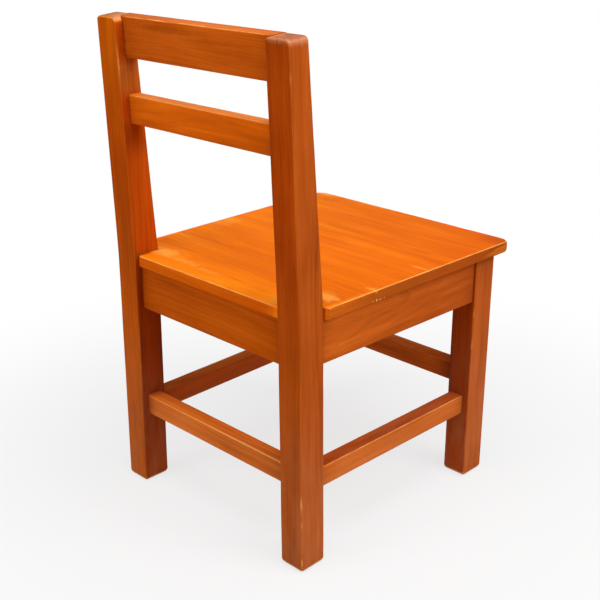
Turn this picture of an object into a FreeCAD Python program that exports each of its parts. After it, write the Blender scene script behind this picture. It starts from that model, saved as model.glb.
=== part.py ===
import FreeCAD, Part
import math
import os
import re
import Sketcher

# A small wooden chair for young children. +Z is up and the floor is z = 0.
# The sitter faces -Y, so the back is at +Y, and the sitter's right is at -X.
# The origin is on the floor, midway between the left and right sides
# and midway between the seat's front edge and the rear of the post tops.

doc = FreeCAD.newDocument("preschool_chair")
sheet = doc.addObject("Spreadsheet::Sheet", "sizes")

SIZES = {
    # overall frame
    "overall_height": (560, "floor to the front edge of the post tops"),
    "seat_underside": (282, "floor to the underside of the seat"),
    "frame_depth": (318, "front leg front face to rear post rear face"),
    "rear_width": (294, "over the rear posts at the seat underside"),
    "front_width": (306, "over the front legs"),
    # rear posts
    "post_width": (32, "side to side"),
    "post_depth": (34.5, "front to back below the bend"),
    "post_top_depth": (25, "front to back at the top"),
    "post_lean_in": (3.4, "inward lean of each post between floor and seat"),
    "bend_rise": (9, "bend of the posts above the underside of the seat"),
    "bend_round_rear": (1500, "radius of the bend on the rear face"),
    "bend_round_front": (250, "radius of the bend on the front face"),
    "back_lean": (10, "how far the post top stands behind its foot"),
    "top_drop": (2.4, "fall of the post top from front to rear"),
    "top_round": (4.5, "radius of the two side edges of the post top"),
    "post_round": (2.2, "radius of the long edges of posts and legs"),
    "foot_round": (1.6, "radius round the foot"),
    # front legs
    "leg_width": (31.5, "side to side"),
    "leg_depth": (34.5, "front to back"),
    # back rails
    "crest_height": (44.5, "height of the crest rail, down from the post tops"),
    "hand_gap": (39, "gap between the crest rail and the back slat"),
    "slat_height": (31.5, "height of the back slat"),
    "back_rail_thickness": (16.5, "thickness of crest rail and back slat"),
    "back_rail_recess": (9.5, "crest and slat behind the posts' rear face"),
    # aprons
    "apron_height": (53, "height of the front and rear aprons"),
    "side_apron_height": (50, "height of the side aprons"),
    "apron_thickness": (18, "thickness of the four aprons"),
    "rear_apron_recess": (8.8, "rear apron inside the posts' rear face"),
    "front_apron_recess": (7, "front apron inside the legs' front face"),
    "side_apron_recess": (3, "side aprons inside the posts' and legs' outer faces"),
    # stretchers
    "stretcher_height": (24, "height of the four stretchers"),
    "stretcher_thickness": (18.5, "thickness of the four stretchers"),
    "rear_stretcher_bottom": (92.5, "height of the rear stretcher's lower edge"),
    "side_stretcher_bottom": (86, "height of the side stretchers' lower edge"),
    "front_stretcher_bottom": (118.8, "height of the front stretcher's lower edge"),
    "rear_stretcher_recess": (8.7, "rear stretcher inside the posts' rear face"),
    "front_stretcher_recess": (7, "front stretcher inside the legs' front face"),
    "side_stretcher_recess": (8.5, "side stretchers inside the outer faces"),
    "rail_round": (1.5, "radius of the rails' long edges"),
    # mortise and tenon joints
    "tenon_thickness": (8, "thickness of every tenon"),
    "tenon_shoulder": (5, "shoulder above and below a tenon"),
    "cross_tenon_length": (12, "tenons that run side to side, at the seat underside"),
    "side_tenon_length": (10, "tenons that run front to back"),
    "joint_gap": (0.2, "gap between a tenon and its mortise"),
    # seat
    "seat_thickness": (12.8, "thickness of the seat boards"),
    "seat_rear_overhang": (4, "seat beyond the rear posts' outer faces"),
    "seat_side_overhang": (1.5, "seat beyond the front legs' outer faces"),
    "seat_front_overhang": (29, "seat beyond the front legs' front faces"),
    "seat_tongue_recess": (3.4, "seat's rear edge inside the posts' rear face"),
    "seat_post_gap": (0.8, "gap between the seat's tongue and the rear posts"),
    "seat_ear_gap": (0.9, "gap between the seat's ears and the rear posts"),
    "front_board_depth": (116, "front seat board, front to back"),
    "middle_board_depth": (110, "middle seat board, front to back"),
    "seat_corner_round": (10, "front corners of the seat, seen from above"),
    "seat_rear_corner_round": (4, "rear corners of the seat, seen from above"),
    "seat_edge_round": (2.6, "radius round the seat's top and bottom edges"),
    # corner blocks and screws
    "block_height": (20, "height of a corner block"),
    "block_reach": (44, "contact of a corner block along an apron"),
    "block_corner": (14, "clearance of a corner block from its post or leg"),
    "screw_diameter": (3.5, "shank of a seat screw"),
    "screw_head": (7, "head of a seat screw"),
    "screw_length": (28, "length of a seat screw"),
    "screw_gap": (0.15, "gap round a screw in its hole"),
}

for row, (alias, (value, note)) in enumerate(SIZES.items(), start=1):
    sheet.set("A%d" % row, alias)
    sheet.set("B%d" % row, str(value))
    sheet.set("C%d" % row, note)
    sheet.setAlias("B%d" % row, alias)
doc.recompute()


def bound(text):
    """Expression text with every size name pointed at the sheet."""
    def point(match):
        name = match.group(0)
        return "sizes." + name if name in SIZES else name
    return re.sub(r"[a-z_]+", point, str(text))


def value_of(text):
    """Present value of an expression over the sizes."""
    return float(sheet.evalExpression(bound(text)))


def times(side, text):
    """The expression on the left side (+1) or mirrored to the right side (-1)."""
    return "%d * (%s)" % (side, text)


# Faces of the frame as expressions over the sizes
POST_REAR = "((frame_depth + seat_front_overhang - back_lean) / 2)"
POST_FRONT = "(%s - post_depth)" % POST_REAR
LEG_FRONT = "(%s - frame_depth)" % POST_REAR
LEG_REAR = "(%s + leg_depth)" % LEG_FRONT
LEG_INNER = "(front_width / 2 - leg_width)"
BEND = "(seat_underside + bend_rise)"
SEAT_TOP = "(seat_underside + seat_thickness)"
APRON_BOTTOM = "(seat_underside - apron_height)"
CROSS_TENON_END = "(rear_width / 2 - post_width + cross_tenon_length)"
FRONT_TENON_END = "(front_width / 2 - leg_width + cross_tenon_length)"


def post_outer(z):
    """Outer face of a rear post at a height; the post leans inward as it rises."""
    return "(rear_width / 2 + post_lean_in * (1 - (%s) / seat_underside))" % z


def post_inner(z):
    return "(%s - post_width)" % post_outer(z)


def post_back(z):
    """Rear face of a rear post at a height above the bend."""
    rise = "((%s) - %s) / (overall_height - top_drop - %s)" % (z, BEND, BEND)
    return "(%s + back_lean * %s)" % (POST_REAR, rise)


def middle(low, high):
    return "((%s + %s) / 2)" % (low, high)


def new_body(label):
    body = doc.addObject("PartDesign::Body", label)
    body.Label = label
    return body


def new_sketch(body, role, offset="0"):
    """Sketch on one of the body's own planes, moved along the plane's normal."""
    planes = [f for f in body.Origin.OriginFeatures if f.Role == role]
    sketch = body.newObject("Sketcher::SketchObject", body.Label + "_sketch")
    sketch.AttachmentSupport = [(planes[0], "")]
    sketch.MapMode = "FlatFace"
    if offset != "0":
        sketch.setExpression("AttachmentOffset.Base.z", bound(offset))
    return sketch


def pin_point(sketch, geometry, place, u, v):
    """Hold a point of the sketch at two expressions from the sketch's origin."""
    for kind, text in (("DistanceX", u), ("DistanceY", v)):
        index = sketch.addConstraint(Sketcher.Constraint(kind, -1, 1, geometry, place, value_of(text)))
        sketch.setExpression("Constraints[%d]" % index, bound(text))


def add_bend(sketch, incoming, outgoing, corner, enter, leave, centre):
    """Arc tangent to the lines before and after a corner, which stays as a pinned point."""
    u, v, radius = corner
    from_centre = enter - centre
    to_leave = leave - centre
    anticlockwise = from_centre.cross(to_leave).z > 0
    begin, finish = (from_centre, to_leave) if anticlockwise else (to_leave, from_centre)
    first_angle = math.atan2(begin.y, begin.x)
    last_angle = first_angle + begin.getAngle(finish)
    circle = Part.Circle(centre, FreeCAD.Vector(0, 0, 1), value_of(radius))
    arc = sketch.addGeometry(Part.ArcOfCircle(circle, first_angle, last_angle))
    enter_end, leave_end = (1, 2) if anticlockwise else (2, 1)
    sketch.addConstraint(Sketcher.Constraint("Tangent", incoming, 2, arc, enter_end))
    sketch.addConstraint(Sketcher.Constraint("Tangent", arc, leave_end, outgoing, 1))
    index = sketch.addConstraint(Sketcher.Constraint("Radius", arc, value_of(radius)))
    sketch.setExpression("Constraints[%d]" % index, bound(radius))
    point = sketch.addGeometry(Part.Point(FreeCAD.Vector(value_of(u), value_of(v), 0)), True)
    sketch.addConstraint(Sketcher.Constraint("PointOnObject", point, 1, incoming))
    sketch.addConstraint(Sketcher.Constraint("PointOnObject", point, 1, outgoing))
    pin_point(sketch, point, 1, u, v)


def add_outline(sketch, corners):
    """Closed outline through corners given as expressions (u, v), or (u, v, bend radius)."""
    points = [FreeCAD.Vector(value_of(c[0]), value_of(c[1]), 0) for c in corners]
    count = len(points)
    enters = list(points)
    leaves = list(points)
    centres = {}
    for i, corner in enumerate(corners):
        if len(corner) == 3:
            radius = value_of(corner[2])
            back = (points[i - 1] - points[i]).normalize()
            ahead = (points[(i + 1) % count] - points[i]).normalize()
            half_angle = back.getAngle(ahead) / 2
            enters[i] = points[i] + back * (radius / math.tan(half_angle))
            leaves[i] = points[i] + ahead * (radius / math.tan(half_angle))
            centres[i] = points[i] + (back + ahead).normalize() * (radius / math.sin(half_angle))
    first = sketch.GeometryCount
    for i in range(count):
        sketch.addGeometry(Part.LineSegment(leaves[i], enters[(i + 1) % count]))
    for i, corner in enumerate(corners):
        incoming = first + (i - 1) % count
        outgoing = first + i
        if i in centres:
            add_bend(sketch, incoming, outgoing, corner, enters[i], leaves[i], centres[i])
        else:
            sketch.addConstraint(Sketcher.Constraint("Coincident", incoming, 2, outgoing, 1))
            pin_point(sketch, outgoing, 1, corner[0], corner[1])


def add_box(sketch, u_low, u_high, v_low, v_high):
    add_outline(sketch, [(u_low, v_low), (u_high, v_low), (u_high, v_high), (u_low, v_high)])


def add_circle(sketch, u, v, radius):
    centre = FreeCAD.Vector(value_of(u), value_of(v), 0)
    circle = sketch.addGeometry(Part.Circle(centre, FreeCAD.Vector(0, 0, 1), value_of(radius)))
    pin_point(sketch, circle, 3, u, v)
    index = sketch.addConstraint(Sketcher.Constraint("Radius", circle, value_of(radius)))
    sketch.setExpression("Constraints[%d]" % index, bound(radius))


def add_pad(body, sketch, length, both_ways=False):
    pad = body.newObject("PartDesign::Pad", body.Label + "_pad")
    pad.Profile = sketch
    pad.setExpression("Length", bound(length))
    if both_ways:
        pad.SideType = "Symmetric"
    doc.recompute()
    return pad


def add_pocket(body, sketch, length=None, backwards=False):
    """Cut a sketch to a depth, or right through both ways where no depth is given."""
    before = body.Shape.Volume
    pocket = body.newObject("PartDesign::Pocket", body.Label + "_pocket")
    pocket.Profile = sketch
    if length is None:
        pocket.Type = "ThroughAll"
        pocket.SideType = "Symmetric"
    else:
        pocket.setExpression("Length", bound(length))
        pocket.Reversed = backwards
    doc.recompute()
    if body.Shape.Volume > before - 1:
        raise RuntimeError("a pocket in %s cut nothing" % body.Label)
    return pocket


def round_edges(body, radius, chosen):
    """Round the edges of the body as built so far for which chosen(edge) holds."""
    base = body.Tip
    names = ["Edge%d" % i for i, edge in enumerate(base.Shape.Edges, start=1) if chosen(edge)]
    if not names:
        raise RuntimeError("no edges to round on %s" % body.Label)
    fillet = body.newObject("PartDesign::Fillet", body.Label + "_round")
    fillet.Base = (base, names)
    fillet.setExpression("Radius", bound(radius))
    doc.recompute()
    if "Invalid" in fillet.State or fillet.Shape.isNull():
        raise RuntimeError("could not round %s by %s" % (body.Label, radius))
    return fillet


def along(edge, axis, share=0.98):
    """True for an edge whose box is almost wholly along one axis: 0 is X, 1 is Y, 2 is Z."""
    box = edge.BoundBox
    return (box.XLength, box.YLength, box.ZLength)[axis] > share * edge.Length


def at_height(edge, z, reach=0.01):
    return all(abs(corner.Z - z) < reach for corner in edge.Vertexes)


# Faces of the rails that run across the chair
CREST_BOTTOM = "(overall_height - crest_height)"
SLAT_TOP = "(%s - hand_gap)" % CREST_BOTTOM
SLAT_BOTTOM = "(%s - slat_height)" % SLAT_TOP
REAR_APRON_FACE = "(%s - rear_apron_recess)" % POST_REAR
REAR_STRETCHER_FACE = "(%s - rear_stretcher_recess)" % POST_REAR
FRONT_APRON_FACE = "(%s + front_apron_recess + apron_thickness)" % LEG_FRONT
FRONT_STRETCHER_FACE = "(%s + front_stretcher_recess + stretcher_thickness)" % LEG_FRONT


def back_rail_face(z):
    return "(%s - back_rail_recess)" % post_back(z)


# Tenons that run side to side: middle of thickness in Y, and lower and upper height
CROSS_TENONS = {
    "crest_rail": (
        "(%s - back_rail_thickness / 2)" % back_rail_face("overall_height - crest_height / 2"),
        "(%s + tenon_shoulder)" % CREST_BOTTOM,
        "(overall_height - 2.4 * tenon_shoulder)",
    ),
    "back_slat": (
        "(%s - back_rail_thickness / 2)" % back_rail_face(middle(SLAT_BOTTOM, SLAT_TOP)),
        "(%s + tenon_shoulder)" % SLAT_BOTTOM,
        "(%s - tenon_shoulder)" % SLAT_TOP,
    ),
    "rear_apron": (
        "(%s - apron_thickness / 2)" % REAR_APRON_FACE,
        "(%s + tenon_shoulder)" % APRON_BOTTOM,
        "(seat_underside - 2 * tenon_shoulder)",
    ),
    "rear_stretcher": (
        "(%s - stretcher_thickness / 2)" % REAR_STRETCHER_FACE,
        "(rear_stretcher_bottom + tenon_shoulder)",
        "(rear_stretcher_bottom + stretcher_height - tenon_shoulder)",
    ),
    "front_apron": (
        "(%s - apron_thickness / 2)" % FRONT_APRON_FACE,
        "(%s + tenon_shoulder)" % APRON_BOTTOM,
        "(seat_underside - 2 * tenon_shoulder)",
    ),
    "front_stretcher": (
        "(%s - stretcher_thickness / 2)" % FRONT_STRETCHER_FACE,
        "(front_stretcher_bottom + tenon_shoulder)",
        "(front_stretcher_bottom + stretcher_height - tenon_shoulder)",
    ),
}

# Rails that run front to back: recess, thickness, lower and upper height
SIDE_RAILS = {
    "side_apron": (
        "side_apron_recess",
        "apron_thickness",
        "(seat_underside - side_apron_height)",
        "seat_underside",
    ),
    "side_stretcher": (
        "side_stretcher_recess",
        "stretcher_thickness",
        "side_stretcher_bottom",
        "(side_stretcher_bottom + stretcher_height)",
    ),
}


def side_rail_outer(kind, end):
    """Outer face of a side rail where it meets its rear post or its front leg."""
    recess, thickness, low, high = SIDE_RAILS[kind]
    if end == "rear":
        return "(%s - %s)" % (post_outer(middle(low, high)), recess)
    return "(front_width / 2 - %s)" % recess


def side_rail_centre(kind, end):
    return "(%s - %s / 2)" % (side_rail_outer(kind, end), SIDE_RAILS[kind][1])


def cut_cross_mortises(body, side, names, inner_low, tenon_end):
    """Mortises cut outward from the inner face of a post or leg."""
    start = "(%s - 4)" % inner_low
    sketch = new_sketch(body, "YZ_Plane", times(side, start))
    for name in names:
        centre, low, high = CROSS_TENONS[name]
        half = "(tenon_thickness / 2 + joint_gap)"
        add_box(
            sketch,
            "%s - %s" % (centre, half),
            "%s + %s" % (centre, half),
            "%s - joint_gap" % low,
            "%s + joint_gap" % high,
        )
    add_pocket(body, sketch, "%s + 3 * joint_gap - %s" % (tenon_end, start), backwards=side > 0)


def cut_side_mortises(body, side, end, face, toward_rear):
    """Mortises for the side rails, cut into the front of a post or the rear of a leg."""
    start = "(%s - 4)" % face if toward_rear else "(%s + 4)" % face
    sketch = new_sketch(body, "XZ_Plane", "-1 * %s" % start)
    for kind, (recess, thickness, low, high) in SIDE_RAILS.items():
        centre = times(side, side_rail_centre(kind, end))
        half = "(tenon_thickness / 2 + joint_gap)"
        add_box(
            sketch,
            "%s - %s" % (centre, half),
            "%s + %s" % (centre, half),
            "%s + tenon_shoulder - joint_gap" % low,
            "%s - tenon_shoulder + joint_gap" % high,
        )
    add_pocket(body, sketch, "4 + side_tenon_length + 3 * joint_gap", backwards=not toward_rear)


def make_rear_post(label, side):
    body = new_body(label)
    # front view: a strip that leans inward as it rises
    front = new_sketch(body, "XZ_Plane")
    top = "(overall_height + 1)"
    add_outline(front, [
        (times(side, post_inner("0")), "0"),
        (times(side, post_outer("0")), "0"),
        (times(side, post_outer(top)), top),
        (times(side, post_inner(top)), top),
    ])
    add_pad(body, front, "2 * frame_depth", both_ways=True)
    # side view: everything outside the bent profile is cut away
    profile = new_sketch(body, "YZ_Plane")
    add_outline(profile, [
        (POST_REAR, "0"),
        (POST_REAR, BEND, "bend_round_rear"),
        ("%s + back_lean" % POST_REAR, "overall_height - top_drop"),
        ("%s + back_lean - post_top_depth" % POST_REAR, "overall_height"),
        (POST_FRONT, BEND, "bend_round_front"),
        (POST_FRONT, "0"),
    ])
    add_box(profile, "-2 * frame_depth", "2 * frame_depth", "-overall_height", "2 * overall_height")
    add_pocket(body, profile)
    summit = value_of("overall_height - top_drop")
    round_edges(body, "top_round", lambda e: e.BoundBox.ZMin > summit - 0.01 and along(e, 1, 0.9))
    # the long edges, carried over the rounded top in one run
    round_edges(body, "post_round", lambda e: e.BoundBox.ZMin > summit - 0.01 and along(e, 0, 0.9))
    round_edges(body, "foot_round", lambda e: at_height(e, 0))
    cut_cross_mortises(
        body, side, ("crest_rail", "back_slat", "rear_apron", "rear_stretcher"),
        post_inner("overall_height"), CROSS_TENON_END,
    )
    cut_side_mortises(body, side, "rear", POST_FRONT, toward_rear=True)
    return body


def make_front_leg(label, side):
    body = new_body(label)
    plan = new_sketch(body, "XY_Plane")
    add_box(plan, times(side, LEG_INNER), times(side, "front_width / 2"), LEG_FRONT, LEG_REAR)
    add_pad(body, plan, "seat_underside")
    round_edges(body, "post_round", lambda e: along(e, 2))
    round_edges(body, "foot_round", lambda e: at_height(e, 0))
    cut_cross_mortises(body, side, ("front_apron", "front_stretcher"), LEG_INNER, FRONT_TENON_END)
    cut_side_mortises(body, side, "front", LEG_REAR, toward_rear=False)
    return body


def make_cross_rail(label, section, ends, tenon_end):
    """Rail across the chair: four section corners in Y and Z, ends(z) half its length at a height."""
    body = new_body(label)
    across = new_sketch(body, "YZ_Plane")
    add_outline(across, section)
    add_pad(body, across, "2 * front_width", both_ways=True)
    heights = sorted((value_of(z), z) for y, z in section)
    low = "(%s - 20)" % heights[0][1]
    high = "(%s + 20)" % heights[-1][1]
    trim = new_sketch(body, "XZ_Plane")
    for side in (-1, 1):
        far = times(side, "2 * front_width")
        add_outline(trim, [
            (times(side, ends(low)), low), (far, low), (far, high), (times(side, ends(high)), high),
        ])
    add_pocket(body, trim)
    round_edges(body, "rail_round", lambda e: along(e, 0) and e.Length > 100)
    centre, tenon_low, tenon_high = CROSS_TENONS[label]
    tenon = new_sketch(body, "YZ_Plane")
    half = "tenon_thickness / 2"
    add_box(tenon, "%s - %s" % (centre, half), "%s + %s" % (centre, half), tenon_low, tenon_high)
    add_pad(body, tenon, "2 * %s" % tenon_end, both_ways=True)
    return body


def upright_section(rear_face, thickness, low, high):
    front_face = "(%s - %s)" % (rear_face, thickness)
    return [(rear_face, low), (rear_face, high), (front_face, high), (front_face, low)]


def leaning_section(low, rear_high, front_high):
    """Section of a back rail, parallel to the rear face of the leaning posts."""
    return [
        (back_rail_face(low), low),
        (back_rail_face(rear_high), rear_high),
        ("(%s - back_rail_thickness)" % back_rail_face(rear_high), front_high),
        ("(%s - back_rail_thickness)" % back_rail_face(low), low),
    ]


def make_side_rail(label, kind, side):
    """Rail from a rear post to a front leg, splayed because the chair is wider in front."""
    body = new_body(label)
    recess, thickness, low, high = SIDE_RAILS[kind]
    rear = side_rail_outer(kind, "rear")
    front = side_rail_outer(kind, "front")
    plan = new_sketch(body, "XY_Plane", low)
    add_outline(plan, [
        (times(side, rear), POST_FRONT),
        (times(side, front), LEG_REAR),
        (times(side, "%s - %s" % (front, thickness)), LEG_REAR),
        (times(side, "%s - %s" % (rear, thickness)), POST_FRONT),
    ])
    add_pad(body, plan, "%s - %s" % (high, low))
    round_edges(body, "rail_round", lambda e: e.Length > 100 and e.BoundBox.ZLength < 1)
    tenons = new_sketch(body, "XY_Plane", "%s + tenon_shoulder" % low)
    half = "tenon_thickness / 2"
    for end, inside, outside in (
        ("rear", "%s - 8" % POST_FRONT, "%s + side_tenon_length" % POST_FRONT),
        ("front", "%s + 8" % LEG_REAR, "%s - side_tenon_length" % LEG_REAR),
    ):
        centre = times(side, side_rail_centre(kind, end))
        add_box(tenons, "%s - %s" % (centre, half), "%s + %s" % (centre, half), inside, outside)
    add_pad(body, tenons, "%s - %s - 2 * tenon_shoulder" % (high, low))
    return body


# Seat outline: the sides run from the ears beside the rear posts to the wider front edge
SEAT_FRONT = "(%s - seat_front_overhang)" % LEG_FRONT
SEAT_REAR = "(%s - seat_tongue_recess)" % POST_REAR
EAR_REAR = "(%s - seat_ear_gap)" % POST_FRONT
TONGUE_SIDE = "(rear_width / 2 - post_width - post_lean_in * seat_thickness / seat_underside - seat_post_gap)"
FIRST_JOINT = "(%s + front_board_depth)" % SEAT_FRONT
SECOND_JOINT = "(%s + middle_board_depth)" % FIRST_JOINT


def seat_side(y):
    """Half width of the seat at a place front to back."""
    rear = "(rear_width / 2 + seat_rear_overhang)"
    front = "(front_width / 2 + seat_side_overhang)"
    share = "((%s) - %s) / (%s - %s)" % (y, SEAT_FRONT, EAR_REAR, SEAT_FRONT)
    return "(%s + (%s - %s) * %s)" % (front, rear, front, share)


# Corner blocks and their screws: apron face and post face at each end of the chair
BLOCK_ENDS = {
    "rear": {
        "cross_face": "(%s - apron_thickness)" % REAR_APRON_FACE,
        "upright_inner": "(rear_width / 2 - post_width)",
        "upright_face": POST_FRONT,
        "inward": -1,
    },
    "front": {
        "cross_face": FRONT_APRON_FACE,
        "upright_inner": LEG_INNER,
        "upright_face": LEG_REAR,
        "inward": 1,
    },
}


def side_apron_inner(y):
    """Inner face of a side apron at a place front to back."""
    rear = side_rail_outer("side_apron", "rear")
    front = side_rail_outer("side_apron", "front")
    share = "((%s) - %s) / (%s - %s)" % (y, LEG_REAR, POST_FRONT, LEG_REAR)
    return "(%s + (%s - %s) * %s - apron_thickness)" % (front, rear, front, share)


def screw_place(end):
    """Where a seat screw stands under the left half of the seat."""
    spec = BLOCK_ENDS[end]
    x = "(%s - 1.2 * block_corner)" % spec["upright_inner"]
    y = "(%s + %d * 1.5 * block_corner)" % (spec["cross_face"], spec["inward"])
    return x, y


def make_corner_block(label, end, side):
    """Triangular block glued to two aprons, its tip cut off clear of the post or leg."""
    body = new_body(label)
    spec = BLOCK_ENDS[end]
    near = "(%s + %d * block_corner)" % (spec["upright_face"], spec["inward"])
    far = "(%s + %d * block_reach)" % (near, spec["inward"])
    cross_near = "(%s - block_corner)" % spec["upright_inner"]
    plan = new_sketch(body, "XY_Plane", "seat_underside - block_height")
    add_outline(plan, [
        (times(side, "%s - block_reach" % cross_near), spec["cross_face"]),
        (times(side, cross_near), spec["cross_face"]),
        (times(side, side_apron_inner(near)), near),
        (times(side, side_apron_inner(far)), far),
    ])
    add_pad(body, plan, "block_height")
    x, y = screw_place(end)
    sketch = new_sketch(body, "XY_Plane", "seat_underside - block_height")
    add_circle(sketch, times(side, x), y, "screw_diameter / 2 + screw_gap")
    hole = body.newObject("PartDesign::Hole", label + "_hole")
    hole.Profile = sketch
    doc.recompute()
    hole.Reversed = True
    hole.DepthType = "ThroughAll"
    hole.ThreadType = "None"
    hole.HoleCutType = "Countersink"
    hole.HoleCutCustomValues = True
    hole.setExpression("Diameter", bound("screw_diameter + 2 * screw_gap"))
    hole.setExpression("HoleCutDiameter", bound("screw_head + 4 * screw_gap"))
    hole.HoleCutCountersinkAngle = 90
    doc.recompute()
    return body


def make_seat_board(label, corners, front_corners=(), rear_corners=(), screw_end=None):
    """Board of the plank seat from its outline seen from above."""
    body = new_body(label)
    plan = new_sketch(body, "XY_Plane", "seat_underside")
    add_outline(plan, corners)
    add_pad(body, plan, "seat_thickness")

    def stands_at(edge, places):
        if not along(edge, 2):
            return False
        centre = edge.BoundBox.Center
        spots = [(value_of(x), value_of(y)) for x, y in places]
        return any(abs(centre.x - x) + abs(centre.y - y) < 0.01 for x, y in spots)

    if front_corners:
        round_edges(body, "seat_corner_round", lambda e: stands_at(e, front_corners))
    if rear_corners:
        round_edges(body, "seat_rear_corner_round", lambda e: stands_at(e, rear_corners))
    joints = [value_of(FIRST_JOINT), value_of(SECOND_JOINT)]

    def open_edge(edge):
        """Top or bottom edge of the board that is not at a glued joint or in a notch."""
        box = edge.BoundBox
        if box.ZLength > 0.01:
            return False
        glued = any(box.YLength < 0.01 and abs(box.YMin - y) < 0.01 for y in joints)
        notch = abs(box.Center.x) < value_of(post_outer("seat_underside")) and box.YMin > joints[1]
        rear = box.YMin > value_of(SEAT_REAR) - 0.01
        return not glued and (rear or not notch)

    round_edges(body, "seat_edge_round", open_edge)
    if screw_end:
        x, y = screw_place(screw_end)
        holes = new_sketch(body, "XY_Plane", "seat_underside")
        for side in (-1, 1):
            add_circle(holes, times(side, x), y, "screw_diameter / 2 + screw_gap")
        depth = "screw_length - block_height + 4 * screw_gap"
        add_pocket(body, holes, depth, backwards=True)
    return body


def make_screw(name, x, y):
    """Countersunk wood screw standing head down, from three turned lengths."""
    base = "seat_underside - block_height"
    head_height = "(screw_head - screw_diameter) / 2"
    tip_height = "1.4 * screw_diameter"
    head = doc.addObject("Part::Cone", name + "_head")
    head.setExpression("Radius1", bound("screw_head / 2"))
    head.setExpression("Radius2", bound("screw_diameter / 2"))
    head.setExpression("Height", bound(head_height))
    shank = doc.addObject("Part::Cylinder", name + "_shank")
    shank.setExpression("Radius", bound("screw_diameter / 2"))
    shank.setExpression("Height", bound("screw_length - %s - %s" % (head_height, tip_height)))
    tip = doc.addObject("Part::Cone", name + "_tip")
    tip.setExpression("Radius1", bound("screw_diameter / 2"))
    tip.setExpression("Radius2", bound("screw_diameter / 12"))
    tip.setExpression("Height", bound(tip_height))
    starts = (base, "%s + %s" % (base, head_height), "%s + screw_length - %s" % (base, tip_height))
    for length, start in zip((head, shank, tip), starts):
        length.setExpression("Placement.Base.x", bound(x))
        length.setExpression("Placement.Base.y", bound(y))
        length.setExpression("Placement.Base.z", bound(start))
    screw = doc.addObject("Part::MultiFuse", name)
    screw.Shapes = [head, shank, tip]
    screw.Refine = True
    return screw


subparts = []

for word, side in (("right", -1), ("left", 1)):
    subparts.append(make_rear_post("rear_post_" + word, side))
    subparts.append(make_front_leg("front_leg_" + word, side))
    subparts.append(make_side_rail("side_apron_" + word, "side_apron", side))
    subparts.append(make_side_rail("side_stretcher_" + word, "side_stretcher", side))
    for end in ("front", "rear"):
        subparts.append(make_corner_block("corner_block_%s_%s" % (end, word), end, side))

# The crest rail's top lies in the plane of the post tops, the back slat's top is square
TOP_FALL = "top_drop / post_top_depth"
crest_rear_top = "(overall_height - top_drop + back_rail_recess * %s)" % TOP_FALL
crest_front_top = "(%s + back_rail_thickness * %s)" % (crest_rear_top, TOP_FALL)
subparts.append(make_cross_rail(
    "crest_rail", leaning_section(CREST_BOTTOM, crest_rear_top, crest_front_top),
    post_inner, CROSS_TENON_END,
))
subparts.append(make_cross_rail(
    "back_slat", leaning_section(SLAT_BOTTOM, SLAT_TOP, SLAT_TOP), post_inner, CROSS_TENON_END,
))


def apron_section(rear_face):
    return upright_section(rear_face, "apron_thickness", APRON_BOTTOM, "seat_underside")


def stretcher_section(rear_face, bottom):
    return upright_section(rear_face, "stretcher_thickness", bottom, "(%s + stretcher_height)" % bottom)


def leg_inner(z):
    """The front legs stand upright, so their inner face is the same at any height."""
    return LEG_INNER


subparts.append(make_cross_rail("rear_apron", apron_section(REAR_APRON_FACE), post_inner, CROSS_TENON_END))
subparts.append(make_cross_rail("front_apron", apron_section(FRONT_APRON_FACE), leg_inner, FRONT_TENON_END))
subparts.append(make_cross_rail(
    "rear_stretcher", stretcher_section(REAR_STRETCHER_FACE, "rear_stretcher_bottom"),
    post_inner, CROSS_TENON_END,
))
subparts.append(make_cross_rail(
    "front_stretcher", stretcher_section(FRONT_STRETCHER_FACE, "front_stretcher_bottom"),
    leg_inner, FRONT_TENON_END,
))


def both_sides(half):
    """Outline symmetric about the chair's middle, from its left half listed front to rear."""
    left = [(times(1, x), y) for x, y in half]
    right = [(times(-1, x), y) for x, y in reversed(half)]
    return left + right


front_half = [(seat_side(SEAT_FRONT), SEAT_FRONT), (seat_side(FIRST_JOINT), FIRST_JOINT)]
middle_half = [(seat_side(FIRST_JOINT), FIRST_JOINT), (seat_side(SECOND_JOINT), SECOND_JOINT)]
rear_half = [
    (seat_side(SECOND_JOINT), SECOND_JOINT),
    (seat_side(EAR_REAR), EAR_REAR),
    (TONGUE_SIDE, EAR_REAR),
    (TONGUE_SIDE, SEAT_REAR),
]
subparts.append(make_seat_board(
    "seat_board_front", both_sides(front_half),
    front_corners=both_sides(front_half[:1]), screw_end="front",
))
subparts.append(make_seat_board("seat_board_middle", both_sides(middle_half)))
subparts.append(make_seat_board(
    "seat_board_rear", both_sides(rear_half),
    rear_corners=both_sides([rear_half[1], rear_half[3]]), screw_end="rear",
))

screws = []
for end in ("front", "rear"):
    x, y = screw_place(end)
    for word, side in (("right", -1), ("left", 1)):
        screws.append(make_screw("screw_%s_%s" % (end, word), times(side, x), y))
group = doc.addObject("Part::Compound", "seat_screws")
group.Label = "seat_screws"
group.Links = screws
subparts.append(group)

doc.recompute()
for thing in doc.Objects:
    if "Invalid" in thing.State or "Error" in thing.State:
        raise RuntimeError("%s did not build" % thing.Label)
for part in subparts:
    if part.Shape.isNull() or not part.Shape.isValid():
        raise RuntimeError("%s has no valid shape" % part.Label)

os.makedirs("parts", exist_ok=True)
for part in subparts:
    part.Shape.exportStep(os.path.join("parts", part.Label + ".step"))
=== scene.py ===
import math
from collections import namedtuple

import bmesh
import bpy
from bpy.props import FloatProperty, FloatVectorProperty, PointerProperty
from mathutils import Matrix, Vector, noise


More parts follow.
